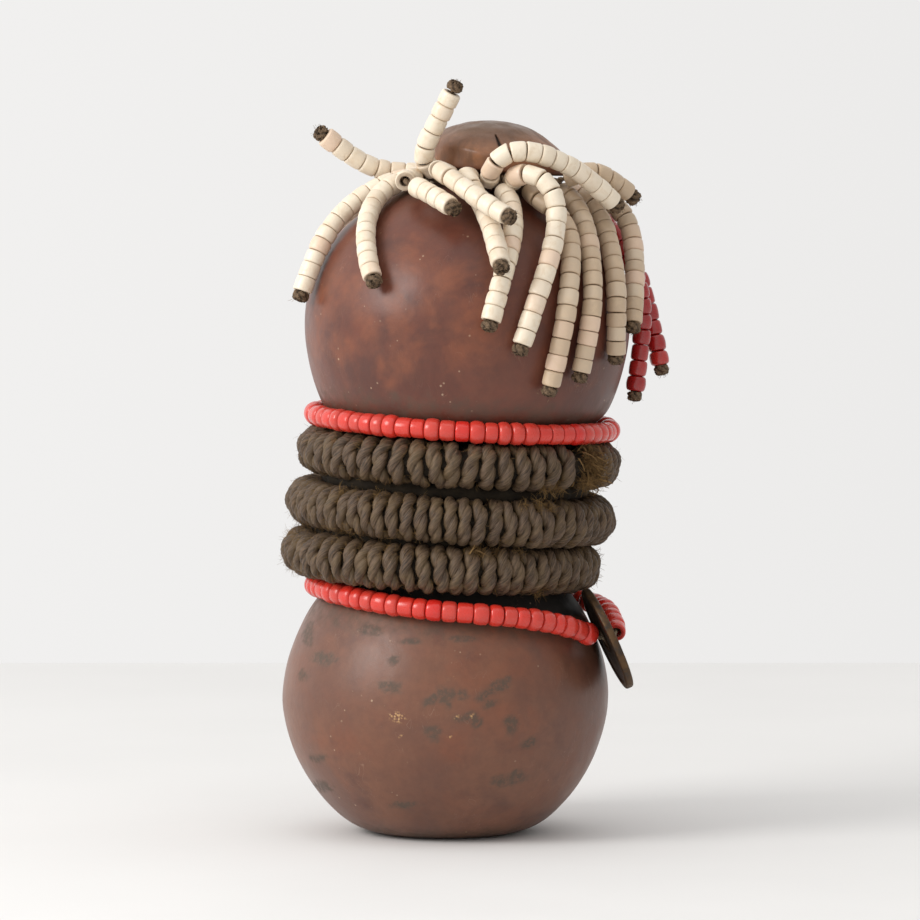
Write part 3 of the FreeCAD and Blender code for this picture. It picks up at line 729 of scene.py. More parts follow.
def add_bead(build, line, middle, radius, length, dice, bulge, rounding, sides, tone=(0.0, 1.0)):
    """One bead, a little different from the next; its faces lean to meet its neighbours."""
    middle %= line.length
    place, heading = line.at(middle)
    rim_round = radius * dice.uniform(*rounding)
    rows, rims = bead_rows(radius, length, sides, rim_round, bulge * dice.uniform(0.2, 2.0))
    spin = dice.uniform(0, FULL_TURN)
    lean = Vector((dice.gauss(0, BEAD_LEAN), dice.gauss(0, BEAD_LEAN), 0))
    turn = (heading + lean).to_track_quat("Z", "Y").to_matrix() @ Matrix.Rotation(spin, 3, "Z")
    oval = np.array([1 + dice.gauss(0, BEAD_OVAL), 1 + dice.gauss(0, BEAD_OVAL), 1.0])
    flat = (rows * oval).reshape(-1, 3)
    skew = dice.gauss(0, BEAD_SKEW)
    flat[:, 2] += flat[:, 0] * skew
    for sign in (-1, 1):
        face = line.at((middle + sign * length / 2) % line.length)[1]
        facing = turn.transposed() @ face
        share = np.clip(sign * flat[:, 2] / (length / 2), 0, 1) * FACE_FIT
        flat[:, 2] -= share * (flat[:, 0] * facing.x + flat[:, 1] * facing.y) / facing.z
    moved = flat @ np.array(turn).T + np.array(place)
    paint = painted(rows, dice.uniform(*tone), dice.random(), rims[:, None, 0], rims[:, None, 1])
    build.grid(moved.reshape(rows.shape), paint)


def stations(line, first, last, bare, lengths, rim):
    """Middles of the beads along a line, each clear of the one before and of a bare stretch."""
    found = []
    station = first
    for length in lengths:
        middle = station + length / 2
        if bare and middle + length / 2 > bare[0] and station < bare[1]:
            station = bare[1]
            middle = station + length / 2
        if middle + length / 2 > last:
            break
        found.append((middle, length))
        ahead = line.at(min(middle + length, line.length))[1]
        turn = line.at(middle)[1].angle(ahead)
        station = middle + length / 2 + BEAD_GAP + rim * turn * (1 - FACE_FIT)
    return found


def fitted_stations(line, first, last, bare, lengths, rim):
    """Beads along a line, stretched a little so that the last one ends near the knot."""
    best, least = None, 1.0
    for scale in np.linspace(1.0, MOST_STRETCH, 40):
        found = stations(line, first, last, bare, [long * scale for long in lengths], rim)
        spare = last - found[-1][0] - found[-1][1] / 2
        if spare < least:
            best, least = found, spare
        if best is not None and len(found) < len(best):
            break
    return best


def ply_rows(points, offset, radius, twist, phase, sides):
    """Rings of one yarn that winds round a line, and the yarn's paint."""
    points = np.asarray(points, float)
    _, side, other = frames(points)
    steps = distances_along(points)
    angle = FULL_TURN * steps / twist + phase
    out = np.cos(angle)[:, None] * side + np.sin(angle)[:, None] * other
    rows = tube_rows(points + out * offset, radius, sides, out)
    around = round_angles(sides)
    # The fourth number is highest where a yarn faces the other yarn: it sets dust, and painted
    # shade in the thong
    return rows, painted(rows, np.cos(around), np.sin(around), (steps * YARN_PAINT)[:, None],
                         0.5 - 0.5 * np.cos(around))


def add_cord(build, path, ply, sides, start=0.0, capped=False):
    """Two yarns twisted round each other along a path."""
    for phase in (0.0, math.pi):
        rows, paint = ply_rows(path, *ply, phase + start, sides)
        build.grid(rows, paint, capped, capped)


def add_fibres(build, root, direction, count, length, spread, dice, radius=0.00005, curl=0.5,
               base=0.0004):
    """Loose hairs that grow from a place."""
    direction = Vector(direction).normalized()
    for _ in range(count):
        heading = (direction + Vector([dice.gauss(0, spread) for _ in range(3)])).normalized()
        start = Vector(root) + Vector([dice.gauss(0, base) for _ in range(3)])
        long = length * dice.uniform(0.35, 1.1)
        bend = Vector([dice.gauss(0, curl) for _ in range(3)])
        points = [start]
        steps = 5
        for _ in range(steps):
            heading = (heading + bend / steps).normalized()
            bend += Vector([dice.gauss(0, curl * 0.4) for _ in range(3)])
            points.append(points[-1] + heading * long / steps)
        radii = radius * dice.uniform(0.7, 1.3) * np.linspace(1.0, 0.35, steps + 1)
        rows = tube_rows(points, radii, 3)
        paint = painted(rows, dice.uniform(-1, 1), dice.uniform(-1, 1), dice.uniform(0, 9))
        build.grid(rows, paint, end_cap=True)


def add_knot(build, place, heading, radius, dice):
    """Tight knot of a thong, packed against the last bead: a ribbed plug with frayed ends."""
    turn = heading.to_track_quat("Z", "Y").to_matrix() @ Matrix.Rotation(dice.uniform(0, 6), 3, "Z")
    seed = dice.uniform(0, 90)
    rows, paint = [], []
    for rise in np.linspace(-math.pi / 2 + 0.02, math.pi / 2 - 0.02, KNOT_RINGS):
        ring, tones = [], []
        for angle in round_angles(KNOT_SIDES):
            out = abs(math.cos(rise)) ** 0.35
            way = Vector((out * math.cos(angle), out * math.sin(angle),
                          math.copysign(abs(math.sin(rise)) ** 0.8, rise)))
            ribs = math.sin(5 * angle + 3.0 * way.z + seed) * KNOT_RIBS
            ribs += math.sin(way.x * 9 + way.y * 4 + seed) * KNOT_RIBS * abs(way.z)
            lump = 1 + ribs + fbm(way * 1.9 + Vector((seed, 0, 0)), 1.0, 4) * KNOT_LUMPS
            lump = min(lump, KNOT_MOST)
            ring.append(Vector(place) + turn @ Vector((way.x * radius * lump, way.y * radius * lump,
                                                       way.z * KNOT_HALF * lump)))
            # The fourth number is high between the ribs: painted shade in the crevices of the knot
            tones.append((way.x * 2.5, way.y * 2.5, way.z * 3 + seed, 0.5 - ribs * 5))
        rows.append(ring)
        paint.append(tones)
    build.grid(rows, np.array(paint), start_cap=True, end_cap=True)
    for _ in range(KNOT_LOOPS):
        side = turn @ Vector((dice.gauss(0, 1), dice.gauss(0, 1), 0)).normalized()
        arch = [Vector(place) + side * (math.cos(a) * radius * 0.72)
                + heading * (KNOT_LENGTH * 0.38 + math.sin(a) * radius * 0.20)
                + heading.cross(side) * (radius * dice.uniform(-0.4, 0.4))
                for a in np.linspace(0, math.pi, 14)]
        strand_rows, strand_paint = ply_rows(arch, *LOOP_YARN, 0.0, 7)
        build.grid(strand_rows, strand_paint, start_cap=True, end_cap=True)
    for _ in range(KNOT_TUFTS):
        out = turn @ Vector((dice.gauss(0, 1), dice.gauss(0, 1), abs(dice.gauss(0, 0.8)) + 0.2))
        out.normalize()
        add_fibres(build, Vector(place) + out * (radius * 0.8), out, 2, 0.0012, 0.5, dice,
                   KNOT_HAIR, 0.9)


def add_hitch(build, place):
    """Two turns of thong round the neck binding where a strand is tied."""
    axis = leaning_axis(MOUTH_LEAN)
    out = Vector(place) - (MOUTH + axis * BINDING_HEIGHT)
    tangent = axis.cross(out).normalized()
    side = out.normalized()
    rise = tangent.cross(side)
    reach = BINDING_RADIUS + 0.00045
    for shift in (-0.0006, 0.0006):
        path = [Vector(place) + side * reach * math.cos(a) + rise * reach * math.sin(a)
                + tangent * (shift + 0.0003 * math.sin(a)) for a in round_angles(25, True)]
        rows = tube_rows(path, HITCH_YARN, 7)
        paint = painted(rows, 0, 0, np.linspace(0, 2.5, len(path))[:, None])
        build.grid(rows, paint, start_cap=True, end_cap=True)


def make_strand(name, spec, dice):
    """Thong, beads and end knot of one strand."""
    body, bead_length, bare, (stiffness, lay), route = spec
    route = metres(route)
    line = line_through(route)
    red = name.startswith("red")
    radius, bulge, rounding = RED_BEAD if red else WHITE_BEAD
    path = line.places(np.linspace(0, line.length, max(20, int(line.length / PATH_STEP))))
    build = Build()
    add_cord(build, path, THONG_PLY, 8, capped=True)
    thong = build.piece(name + "_thong", body, THONG, [name + "_cord"])

    last = line.length - KNOT_LENGTH / 2 - BEAD_GAP
    lengths = [bead_length / 1e5 * dice.uniform(1 - LENGTH_SPREAD, 1 + LENGTH_SPREAD)
               for _ in range(40)]
    first = min(bare / 1e5, max(FIRST_BEAD, bare / 1e5 - BEAD_CREEP))
    root = route[0][0]
    # the browner tones of right-hand strands are painted shade
    tone = (0.55, 1.0) if root > SHADED_FROM else (0.0, 0.3) if root > PALER_FROM else (0.0, 0.45)
    build = Build()
    for middle, long in fitted_stations(line, first, last, BARE.get(name), lengths,
                                        radius - BEAD_CHAMFER):
        add_bead(build, line, middle, radius * dice.uniform(0.96, 1.005), long, dice,
                 bulge, rounding, STRAND_SIDES, tone)
    slot, material = ("deep_red_bead", DEEP_RED) if red else ("white_bead", WHITE)
    beads = build.piece(name + "_beading", body, material, [name + "_beads"])

    build = Build()
    place, heading = line.at(line.length)
    add_knot(build, place, heading, KNOT_RADIUS * (0.86 if red else 0.95), dice)
    ends = build.piece(name + "_ends", body, THONG)


def make_hitches():
    """The turns that tie every strand to the neck binding; they stay put when a strand swings."""
    build = Build()
    for spec in STRANDS.values():
        add_hitch(build, metres(spec[-1])[0])
    build.piece("neck_hitches", "gourd", THONG)


for number, (strand_name, strand_spec) in enumerate(STRANDS.items()):
    make_strand(strand_name, strand_spec, random.Random(100 + number))
make_hitches()

# ---- rings of coral beads ----


def make_ring(name, points, bare_middle, dice):
    """Coral beads on a closed string, with bare string round a given place."""
    line = line_through(points, cyclic=True)
    build = Build()
    path = line.places(np.linspace(0, line.length, RING_PATH))
    add_cord(build, path, STRING_PLY, 6)
    build.piece(name + "_twine", "gourd", STRING, [name + "_string"])

    station, room = 0.0, line.length
    if bare_middle is not None:
        gaps = np.linalg.norm(line.points - np.array(bare_middle), axis=1)
        station = float(line.along[int(gaps.argmin())]) + DISC_GAP
        room -= 2 * DISC_GAP
    gap = BEAD_GAP * 1.4
    count = round(room / (BEAD_LENGTH * 1.02 + BEAD_GAP))
    lengths = np.array([dice.uniform(0.88, 1.12) for _ in range(count)])
    lengths *= (room - count * gap) / lengths.sum()
    radius, bulge, rounding = CORAL_BEAD
    build = Build()
    for long in lengths:
        add_bead(build, line, station + long / 2, radius * dice.uniform(0.945, 0.995), long, dice,
                 bulge, rounding, CORAL_SIDES)
        station += long + gap
    build.piece(name + "_beading", "gourd", CORAL, [name + "_beads"])


def upper_ring_points():
    """Points of a tilted ring, from the back."""
    points = []
    for angle in round_angles(UPPER_RING_POINTS) + math.pi / 2:
        place = ring_point(angle, UPPER_RING_RADIUS)
        place.z = -place.x * math.tan(UPPER_RING_SLOPE)
        points.append(UPPER_RING_CENTRE + place)
    return points


make_ring("upper_ring", upper_ring_points(), None, random.Random(7))
make_ring("lower_ring", metres(LOWER_RING_ROUTE), DISC_CENTRE, random.Random(8))

# ---- gourd ----


def tree_of(node):
    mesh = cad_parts[node].data
    mesh.calc_loop_triangles()
    corners = [v.co.copy() for v in mesh.vertices]
    return BVHTree.FromPolygons(corners, [tuple(t.vertices) for t in mesh.loop_triangles])


def smoothed(rows, rounds, fixed_start=0, fixed_end=0):
    """Evens out a grid of points that closes round its columns."""
    rows = rows.copy()
    last = len(rows) - 1 - fixed_end
    for _ in range(rounds):
        beside = (np.roll(rows, 1, 1) + np.roll(rows, -1, 1)) / 2
        middle = beside[1:-1] * 0.5 + (rows[:-2] + rows[2:]) * 0.25
        rows[1:-1][fixed_start:last] = (rows[1:-1] * 0.5 + middle * 0.5)[fixed_start:last]
    return rows


def cast_ring(tree, origin, turn, rise, columns, outer=False):
    """Ring of hits on a CAD node, with rays from the origin or towards it from outside."""
    ring = []
    for angle in round_angles(columns):
        way = turn @ ball_point(angle, rise)
        start, heading = (origin + way * OUTSIDE_GOURD, -way) if outer else (origin, way)
        ring.append(tree.ray_cast(start, heading)[0])
    return ring


def cast_rows(tree, keys, count, columns, outer):
    """Rings of hits on a CAD node: keys are (share, origin x, origin z, elevation, tilt)."""
    keys = np.array(keys, float)
    rows = []
    for share in np.linspace(0, 1, count):
        x, z, rise, tilt = (np.interp(share, keys[:, 0], keys[:, k]) for k in (1, 2, 3, 4))
        turn = Matrix.Rotation(math.radians(tilt), 3, "Y")
        rows.append(cast_ring(tree, Vector((x, 0, z)), turn, math.radians(rise), columns, outer))
    return np.array(rows, float)


OUTSIDE_GOURD = 0.2  # a distance that is outside the gourd on every side
BELLY_SWELL = 0.0007  # how much fuller the lower bulb is than in the CAD
BELLY_HEIGHT = 0.0360
BELLY_REACH = 0.0160
LOWER_X, LOWER_Z = -0.0029, 0.0395
UPPER_X, UPPER_Z = 0.0032, 0.1470
# (share of the way up, middle x, middle z, elevation, tilt) of the rings of the outer skin
OUTER_KEYS = [
    (0.00, LOWER_X, LOWER_Z, -89.6, 0), (0.40, LOWER_X, LOWER_Z, 28, 0),
    (0.46, -0.0038, 0.0680, 0, 0), (0.52, 0.0000, 0.1060, 0, 0),
    (0.58, UPPER_X, 0.1250, -4, 0), (0.62, UPPER_X, 0.1400, -4, 0), (0.66, UPPER_X, UPPER_Z, 0, 0),
    (0.88, UPPER_X, UPPER_Z, 52, 0), (0.93, 0.0070, 0.1560, 57, 3),
    (0.965, 0.0095, 0.1700, 47, 6), (1.00, 0.0100, 0.1746, 43.4, 6),
]
INNER_KEYS = [
    (0.00, LOWER_X, LOWER_Z, -89.6, 0), (0.30, LOWER_X, LOWER_Z, 28, 0),
    (0.40, -0.0038, 0.0680, 0, 0), (0.50, 0.0000, 0.1060, 0, 0),
    (0.60, UPPER_X, 0.1300, -4, 0), (0.70, UPPER_X, UPPER_Z, 0, 0),
    (0.90, UPPER_X, UPPER_Z, 52, 0), (1.00, 0.0070, 0.1560, 62, 3),
]
# Marks on the front by paint channel: x, z, half width, half height (mm), lean (degrees)
ORANGE, DARK, CRUMB = 0, 1, 2
FRONT_MARKS = {
    ORANGE: [
        (-10.8, 163.0, 5.5, 6.0, 30), (-16.0, 146.0, 3.4, 8.0, 8), (-13.8, 135.4, 3.2, 5.5, -35),
        (-24.7, 144.0, 2.6, 4.6, 20), (-32.0, 138.3, 4.0, 4.2, 0), (-39.3, 142.0, 2.2, 7.5, 0),
        (-21.0, 132.5, 1.6, 2.6, 10), (8.0, 145.7, 6.5, 9.5, -10), (-3.0, 156.5, 6.5, 3.6, 30),
        (-31.0, 155.0, 5.0, 4.0, 20), (-36.0, 150.0, 3.2, 6.0, 0), (-18.5, 127.8, 1.8, 1.4, 0),
        (1.0, 137.0, 3.5, 5.0, -30), (-8.0, 150.0, 2.2, 5.5, 15), (12.0, 48.0, 12.0, 7.0, 5),
        (14.0, 33.0, 9.0, 7.0, 0), (-1.0, 26.0, 7.0, 4.0, 0), (-33.0, 27.0, 6.0, 3.5, -20),
    ],
    DARK: [
        (-17.0, 42.4, 3.6, 1.7, -12), (-20.0, 43.4, 2.0, 1.2, 0), (-3.2, 40.4, 3.4, 2.3, 15),
        (-6.6, 39.2, 2.2, 1.4, 25), (1.6, 40.6, 1.8, 1.5, -20), (-2.2, 38.0, 1.2, 1.1, 0),
        (10.6, 42.2, 4.3, 1.8, 24), (13.6, 43.8, 2.0, 1.8, 10), (7.0, 40.4, 1.8, 1.4, 30),
        (9.6, 38.2, 2.4, 1.1, 18), (0.6, 34.2, 1.8, 1.2, -10), (4.2, 34.4, 2.2, 1.5, 5),
        (6.2, 33.0, 1.3, 1.6, -30), (-6.8, 29.8, 2.0, 2.5, 22), (15.4, 31.8, 1.6, 3.3, -12),
        (14.2, 33.2, 1.4, 1.5, 0), (20.2, 27.0, 2.0, 1.5, 10), (15.8, 16.8, 4.6, 2.0, 10),
        (11.8, 15.8, 2.0, 1.4, 0), (-43.0, 45.4, 1.6, 1.6, 0), (-37.0, 50.4, 3.8, 1.7, -8),
        (-24.0, 58.4, 3.6, 1.5, 0), (-12.0, 55.6, 3.0, 0.9, 0), (-42.0, 57.2, 1.6, 3.0, 0),
        (-38.5, 22.0, 2.4, 1.2, 10), (-37.8, 13.6, 3.0, 1.6, 0), (-14.0, 9.2, 4.0, 1.0, 0),
        (2.0, 56.4, 3.6, 0.8, 0), (-17.6, 50.2, 1.4, 1.0, 0),
    ],
    CRUMB: [
        (-15.6, 34.4, 2.2, 1.3, -10), (-18.0, 35.2, 0.6, 0.5, 0), (0.4, 34.4, 0.6, 0.5, 0),
        (4.4, 34.8, 0.5, 0.4, 0), (-1.8, 29.0, 0.5, 0.4, 0), (-15.2, 29.0, 0.5, 0.4, 0),
        (-0.9, 45.4, 0.9, 0.4, 20),
    ],
}


def step_between(low, high, value):
    share = np.clip((value - low) / (high - low), 0, 1)
    return share * share * (3 - 2 * share)


SKIN_GRID = ((330, 330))  # places round the skin, rings
SKIN_ROUNDS = 24
BROAD_DENTS, FINE_DENTS = 0.00022, 0.00005
# Heights between which a look fades in, with the slope of the coils where it follows them
WAIST_SLOPE = 0.06
SMOOTH_FOOT, SMOOTH_MOUTH = (0.0012, 0.008), (0.1835, 0.176)
# Dust bands by the rings and coils: dirt and painted shade
DUST_AND_SHADE_ABOVE, DUST_AND_SHADE_BELOW = (0.1300, 0.1215), (0.0560, 0.0640)
# Band under the coils painted near black: painted shade
COVER_SHADE_ABOVE, COVER_SHADE_BELOW = (0.1180, 0.1150), (0.0625, 0.0665)
# The foot and the rim of the mouth are painted darker
FOOT_DARKER, MOUTH_DARKER = (0.0060, 0.0008), (0.1795, 0.1835)
RAGGED_MARK = 0.55  # how uneven the outline of a mark is
SOFT_PATCH, SOFT_MARK = 0.75, 0.35  # how softly the outline fades
# Inside of the gourd and lip of the mouth painted near black: painted shade
INSIDE_SHADE = 0.9
# Rings of the mouth from outside to inside: radius, height over its middle
MOUTH_RIM = [(0.01385, 0.0034), (0.0134, 0.0037), (0.0125, 0.0038), (0.0115, 0.0037),
             (BORE_RADIUS, 0.0033), (BORE_RADIUS, 0.0), (BORE_RADIUS, -0.0035)]
VIEW_DROP = 0.0716  # how much lower nearer places look from the camera


def add_mark(paint, places, waves, facing, channel, x, z, wide, high, lean):
    """Paints one uneven oval on the side that faces the given way."""
    angle = math.radians(lean)
    dx = places[:, 0] * 1000 - x
    dz = places[:, 2] * 1000 + places[:, 1] * 1000 * VIEW_DROP - z
    along = (dx * math.cos(angle) + dz * math.sin(angle)) / wide
    beside = (-dx * math.sin(angle) + dz * math.cos(angle)) / high
    away = np.hypot(along, beside) + waves * RAGGED_MARK
    soft = SOFT_PATCH if channel == ORANGE else SOFT_MARK
    mask = step_between(1.0 + soft, 1.0 - soft, away) * (places[:, 1] * facing > 0)
    paint[:, channel] = np.maximum(paint[:, channel], mask)


def mouth_ring(radius, rise, angles):
    """Points of a ring round the axis of the mouth."""
    turn = Matrix.Rotation(MOUTH_LEAN, 3, "Y")
    middle = MOUTH + leaning_axis(MOUTH_LEAN) * rise
    return [middle + turn @ ring_point(a, radius) for a in angles]


def make_gourd():
    tree = tree_of("gourd_shell")
    columns, count = SKIN_GRID
    outer = smoothed(cast_rows(tree, OUTER_KEYS, count, columns, True), SKIN_ROUNDS, 3, 6)
    centre = outer.mean(1, keepdims=True)
    outward = outer - centre
    outward /= np.maximum(np.linalg.norm(outward, axis=2, keepdims=True), TINY)
    flat = outer.reshape(-1, 3)
    height = flat[:, 2]
    dents = np.array([fbm(p, 28.0, 3) * BROAD_DENTS + fbm(p, 110.0, 2) * FINE_DENTS
                      for p in flat])
    calm = step_between(*SMOOTH_FOOT, height) * step_between(*SMOOTH_MOUTH, height)
    belly = BELLY_SWELL * np.exp(-((height - BELLY_HEIGHT) / BELLY_REACH) ** 2)
    outer = outer + outward * (dents * calm + belly).reshape(count, columns, 1)

    waves = np.array([fbm(p, 330.0, 4) for p in flat])
    paint = np.zeros((len(flat), 4))
    dice = random.Random(11)
    for channel, marks in FRONT_MARKS.items():
        for x, z, wide, high, lean in marks:
            add_mark(paint, flat, waves, -1, channel, x, z, wide, high, lean)
            add_mark(paint, flat, waves, 1, channel, -x * 0.9 + dice.uniform(-8, 8),
                     z + dice.uniform(-5, 5), wide, high, dice.uniform(-40, 40))
    sloped = height + flat[:, 0] * WAIST_SLOPE
    # dusty: dirt and painted shade next to the rings and coils
    dusty = np.minimum(step_between(*DUST_AND_SHADE_ABOVE, sloped + waves * 0.003),
                       step_between(*DUST_AND_SHADE_BELOW, sloped + waves * 0.002))
    # covered: near-black painted shade under the coils
    covered_shade = np.minimum(step_between(*COVER_SHADE_ABOVE, sloped), step_between(*COVER_SHADE_BELOW, sloped))
    foot = step_between(*FOOT_DARKER, height + waves * 0.001)
    mouth = step_between(*MOUTH_DARKER, height)
    # Fourth channel: half for dirt and painted shade by the rings and coils and for the darker foot
    # and mouth, full for near-black painted shade under the coils
    paint[:, 3] = np.maximum.reduce([dusty * 0.5, foot * 0.5, mouth * 0.5, covered_shade])

    rings = [mouth_ring(radius, rise, round_angles(columns)) for radius, rise in MOUTH_RIM]
    inner = smoothed(cast_rows(tree, INNER_KEYS, count // 4, columns, False), 4, 2, 2)[::-1]
    rows = np.concatenate([outer, np.array(rings, float), inner])
    full = np.zeros((*rows.shape[:2], 4))
    full[:count] = paint.reshape(count, columns, 4)
    full[count:, :, 3] = INSIDE_SHADE
    build = Build()
    build.grid(rows, full, start_cap=True, end_cap=True)
    build.piece("gourd_skin", "gourd", GOURD, ["gourd_shell"])


make_gourd()

# ---- stopper ----

CRACK_TOP = Vector((0.0112, -0.0140, 0.1999))
CRACK_END = Vector((0.0129, -0.0190, 0.1957))
CRACK_WIDTH, CRACK_WIDENS, CRACK_DEPTH = 0.00022, 0.00075, 0.0009
CRACK_REACH = 0.002  # how far under or over its line the crack cuts
HEAD_MIDDLE = 0.0085  # height of the middle of the head over the mouth
HEAD_ROUNDS = 26
DIMPLE = (0.0049, -0.004, 0.2030)
DIMPLE_REACH, DIMPLE_DEPTH = 0.0042, 0.00045
BROAD_SWELL, FINE_SWELL = 0.00045, 0.00012
HEAD_GRID = ((420, 260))  # places round the head, rings
STEM_RINGS, BRIM_RINGS = 12, 46


def make_stopper():
    """Domed head and stem, from rays out of the middle of the head."""
    tree = tree_of("stopper")
    origin = MOUTH + leaning_axis(HEAD_LEAN) * HEAD_MIDDLE
    turn = Matrix.Rotation(HEAD_LEAN, 3, "Y")
    columns, count = HEAD_GRID
    rises = np.concatenate([np.linspace(-89.0, -63.0, STEM_RINGS),
                            np.linspace(-62.0, -24.0, BRIM_RINGS),
                            np.linspace(-23.0, 89.6, count - STEM_RINGS - BRIM_RINGS)])
    rings = [cast_ring(tree, origin, turn, rise, columns) for rise in np.radians(rises)]
    head = smoothed(np.array(rings, float), HEAD_ROUNDS, 34, 1)
    flat = head.reshape(-1, 3)
    away = unit_rows(flat - np.array(origin))
    swell = np.array([fbm(p, 55.0, 3) * BROAD_SWELL + fbm(p, 190.0, 2) * FINE_SWELL
                      for p in flat])
    calm = step_between(0.1885, 0.1925, flat[:, 2])
    dimple = np.linalg.norm(flat - np.array(DIMPLE), axis=1)
    swell -= DIMPLE_DEPTH * step_between(DIMPLE_REACH, 0.0, dimple)
    flat = flat + away * (swell * calm)[:, None]

    top, end = np.array(CRACK_TOP), np.array(CRACK_END)
    span = end - top
    share = np.clip(((flat - top) @ span) / (span @ span), 0, 1)
    nearest = top + share[:, None] * span
    offset = flat - nearest
    offset -= away * np.sum(offset * away, axis=1)[:, None]
    gap = np.linalg.norm(offset, axis=1)
    width = CRACK_WIDTH + CRACK_WIDENS * share
    crack = step_between(1.0, 0.45, gap / width) * (np.abs((flat - nearest) @ span) < 1e-4)
    crack *= np.linalg.norm(flat - nearest, axis=1) < CRACK_REACH
    flat = flat - away * (crack * CRACK_DEPTH)[:, None]
    rows = flat.reshape(count, columns, 3)
    height = rows[..., 2]
    paint = painted(rows, crack.reshape(count, columns), step_between(0.1925, 0.1895, height),
                    step_between(0.1965, 0.2025, height))
    build = Build()
    build.grid(rows, paint, start_cap=True, end_cap=True)
    build.piece("stopper_wood", "stopper_body", WOOD, ["stopper"])


make_stopper()

# ---- neck binding ----


BINDING_STEPS = 300
# Of each turn of the binding: how far out and up it lies from the ring of the CAD
BINDING_TURNS = [(-0.0006, -0.0006), (0.0006, -0.0003), (-0.0001, 0.0007)]


def make_binding():
    """Three turns of two-ply cord that fill the place of the binding ring."""
    build = Build()
    dice = random.Random(21)
    for shift_out, shift_up in BINDING_TURNS:
        path = mouth_ring(BINDING_RING_RADIUS + shift_out, BINDING_HEIGHT + shift_up,
                          round_angles(BINDING_STEPS, True))
        add_cord(build, path, BINDING_PLY, 7, dice.uniform(0, 6))
    build.piece("neck_cord", "gourd", BINDING, ["neck_binding"])


make_binding()

# ---- wrapped coils ----

# Of each coil: wraps in a full ring, wrapped range (degrees, clockwise from above), seed
COIL_WRAPS = {1: (54, -43.0, -387.0, 31), 2: (67, 20.0, -340.0, 32), 3: (60, 15.0, -345.0, 33)}
# Of each coil's cord: radius of a ply, distance of a ply from the middle, length of a twist
COIL_PLIES = {1: (0.00158, 0.00084, 0.0112), 2: (0.00142, 0.00070, 0.0116),
              3: (0.00152, 0.00078, 0.0116)}
# How far the wraps of a coil sag from the ring of the CAD: sideways shift, wider ring
COIL_SAG = {1: (0.0, 0.0), 2: (0.0, 0.0), 3: (-0.0011, 0.0006)}
WRAP_FLATTEN = 0.80  # how much a wrapped cord is pressed flat
WRAP_STEPS, WRAP_SIDES = ((44, 11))  # rings of one wrap, sides of a ply
WRAP_SPACING, WRAP_LEAN, UNEVEN_LEAN = 0.10, 0.16, 0.16  # as shares of the pitch
WRAP_THICKNESS = (0.93, 1.07)
LOOSENESS = (0.00045, 0.00035)  # quick and slow rise and fall of the wraps
OUTSIDE_COIL = 0.02  # a place well outside a coil, to tell which way is out
CORE_RADIUS = 0.0041
CORE_RIDGES = (0.00022, 0.00012)
CORE_STEPS, CORE_SIDES = (420), 60
PACKING_DEPTH = 0.0042  # how far inside the ring of the coils the packing lies
PACKING_RADIUS = 0.0028
PACKING_STEPS, PACKING_SIDES = 300, 16


def coil_place(number):
    """Middle, ring radius and slope of a coil, from the box of its CAD node."""
    low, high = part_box("coil_wrap_%d" % number)
    radius = (high.y - low.y) / 2 - COIL_RADIUS
    slope = math.asin(((high.z - low.z) / 2 - COIL_RADIUS) / radius)
    shift, wider = COIL_SAG[number]
    return (low + high) / 2 + Vector((shift, 0, 0)), radius + wider, slope


COIL_PLACES = {number: coil_place(number) for number in COIL_WRAPS}


def coil_points(number, around, across, reach, lift=0.0):
    """Places on a coil: angle round the ring, angle round the tube, distance from its middle."""
    centre, radius, slope = COIL_PLACES[number]
    out = radius + reach * np.cos(across)
    x, y = out * np.cos(around), out * np.sin(around)
    z = reach * np.sin(across) + lift
    turned_x = x * math.cos(slope) + z * math.sin(slope)
    turned_z = -x * math.sin(slope) + z * math.cos(slope)
    return np.stack([turned_x, y, turned_z], 1) + np.array(centre)


def steady_noise(values, seed, scale):
    return np.array([noise.noise(Vector((v * scale, seed * 7.3, 0.5))) for v in values])


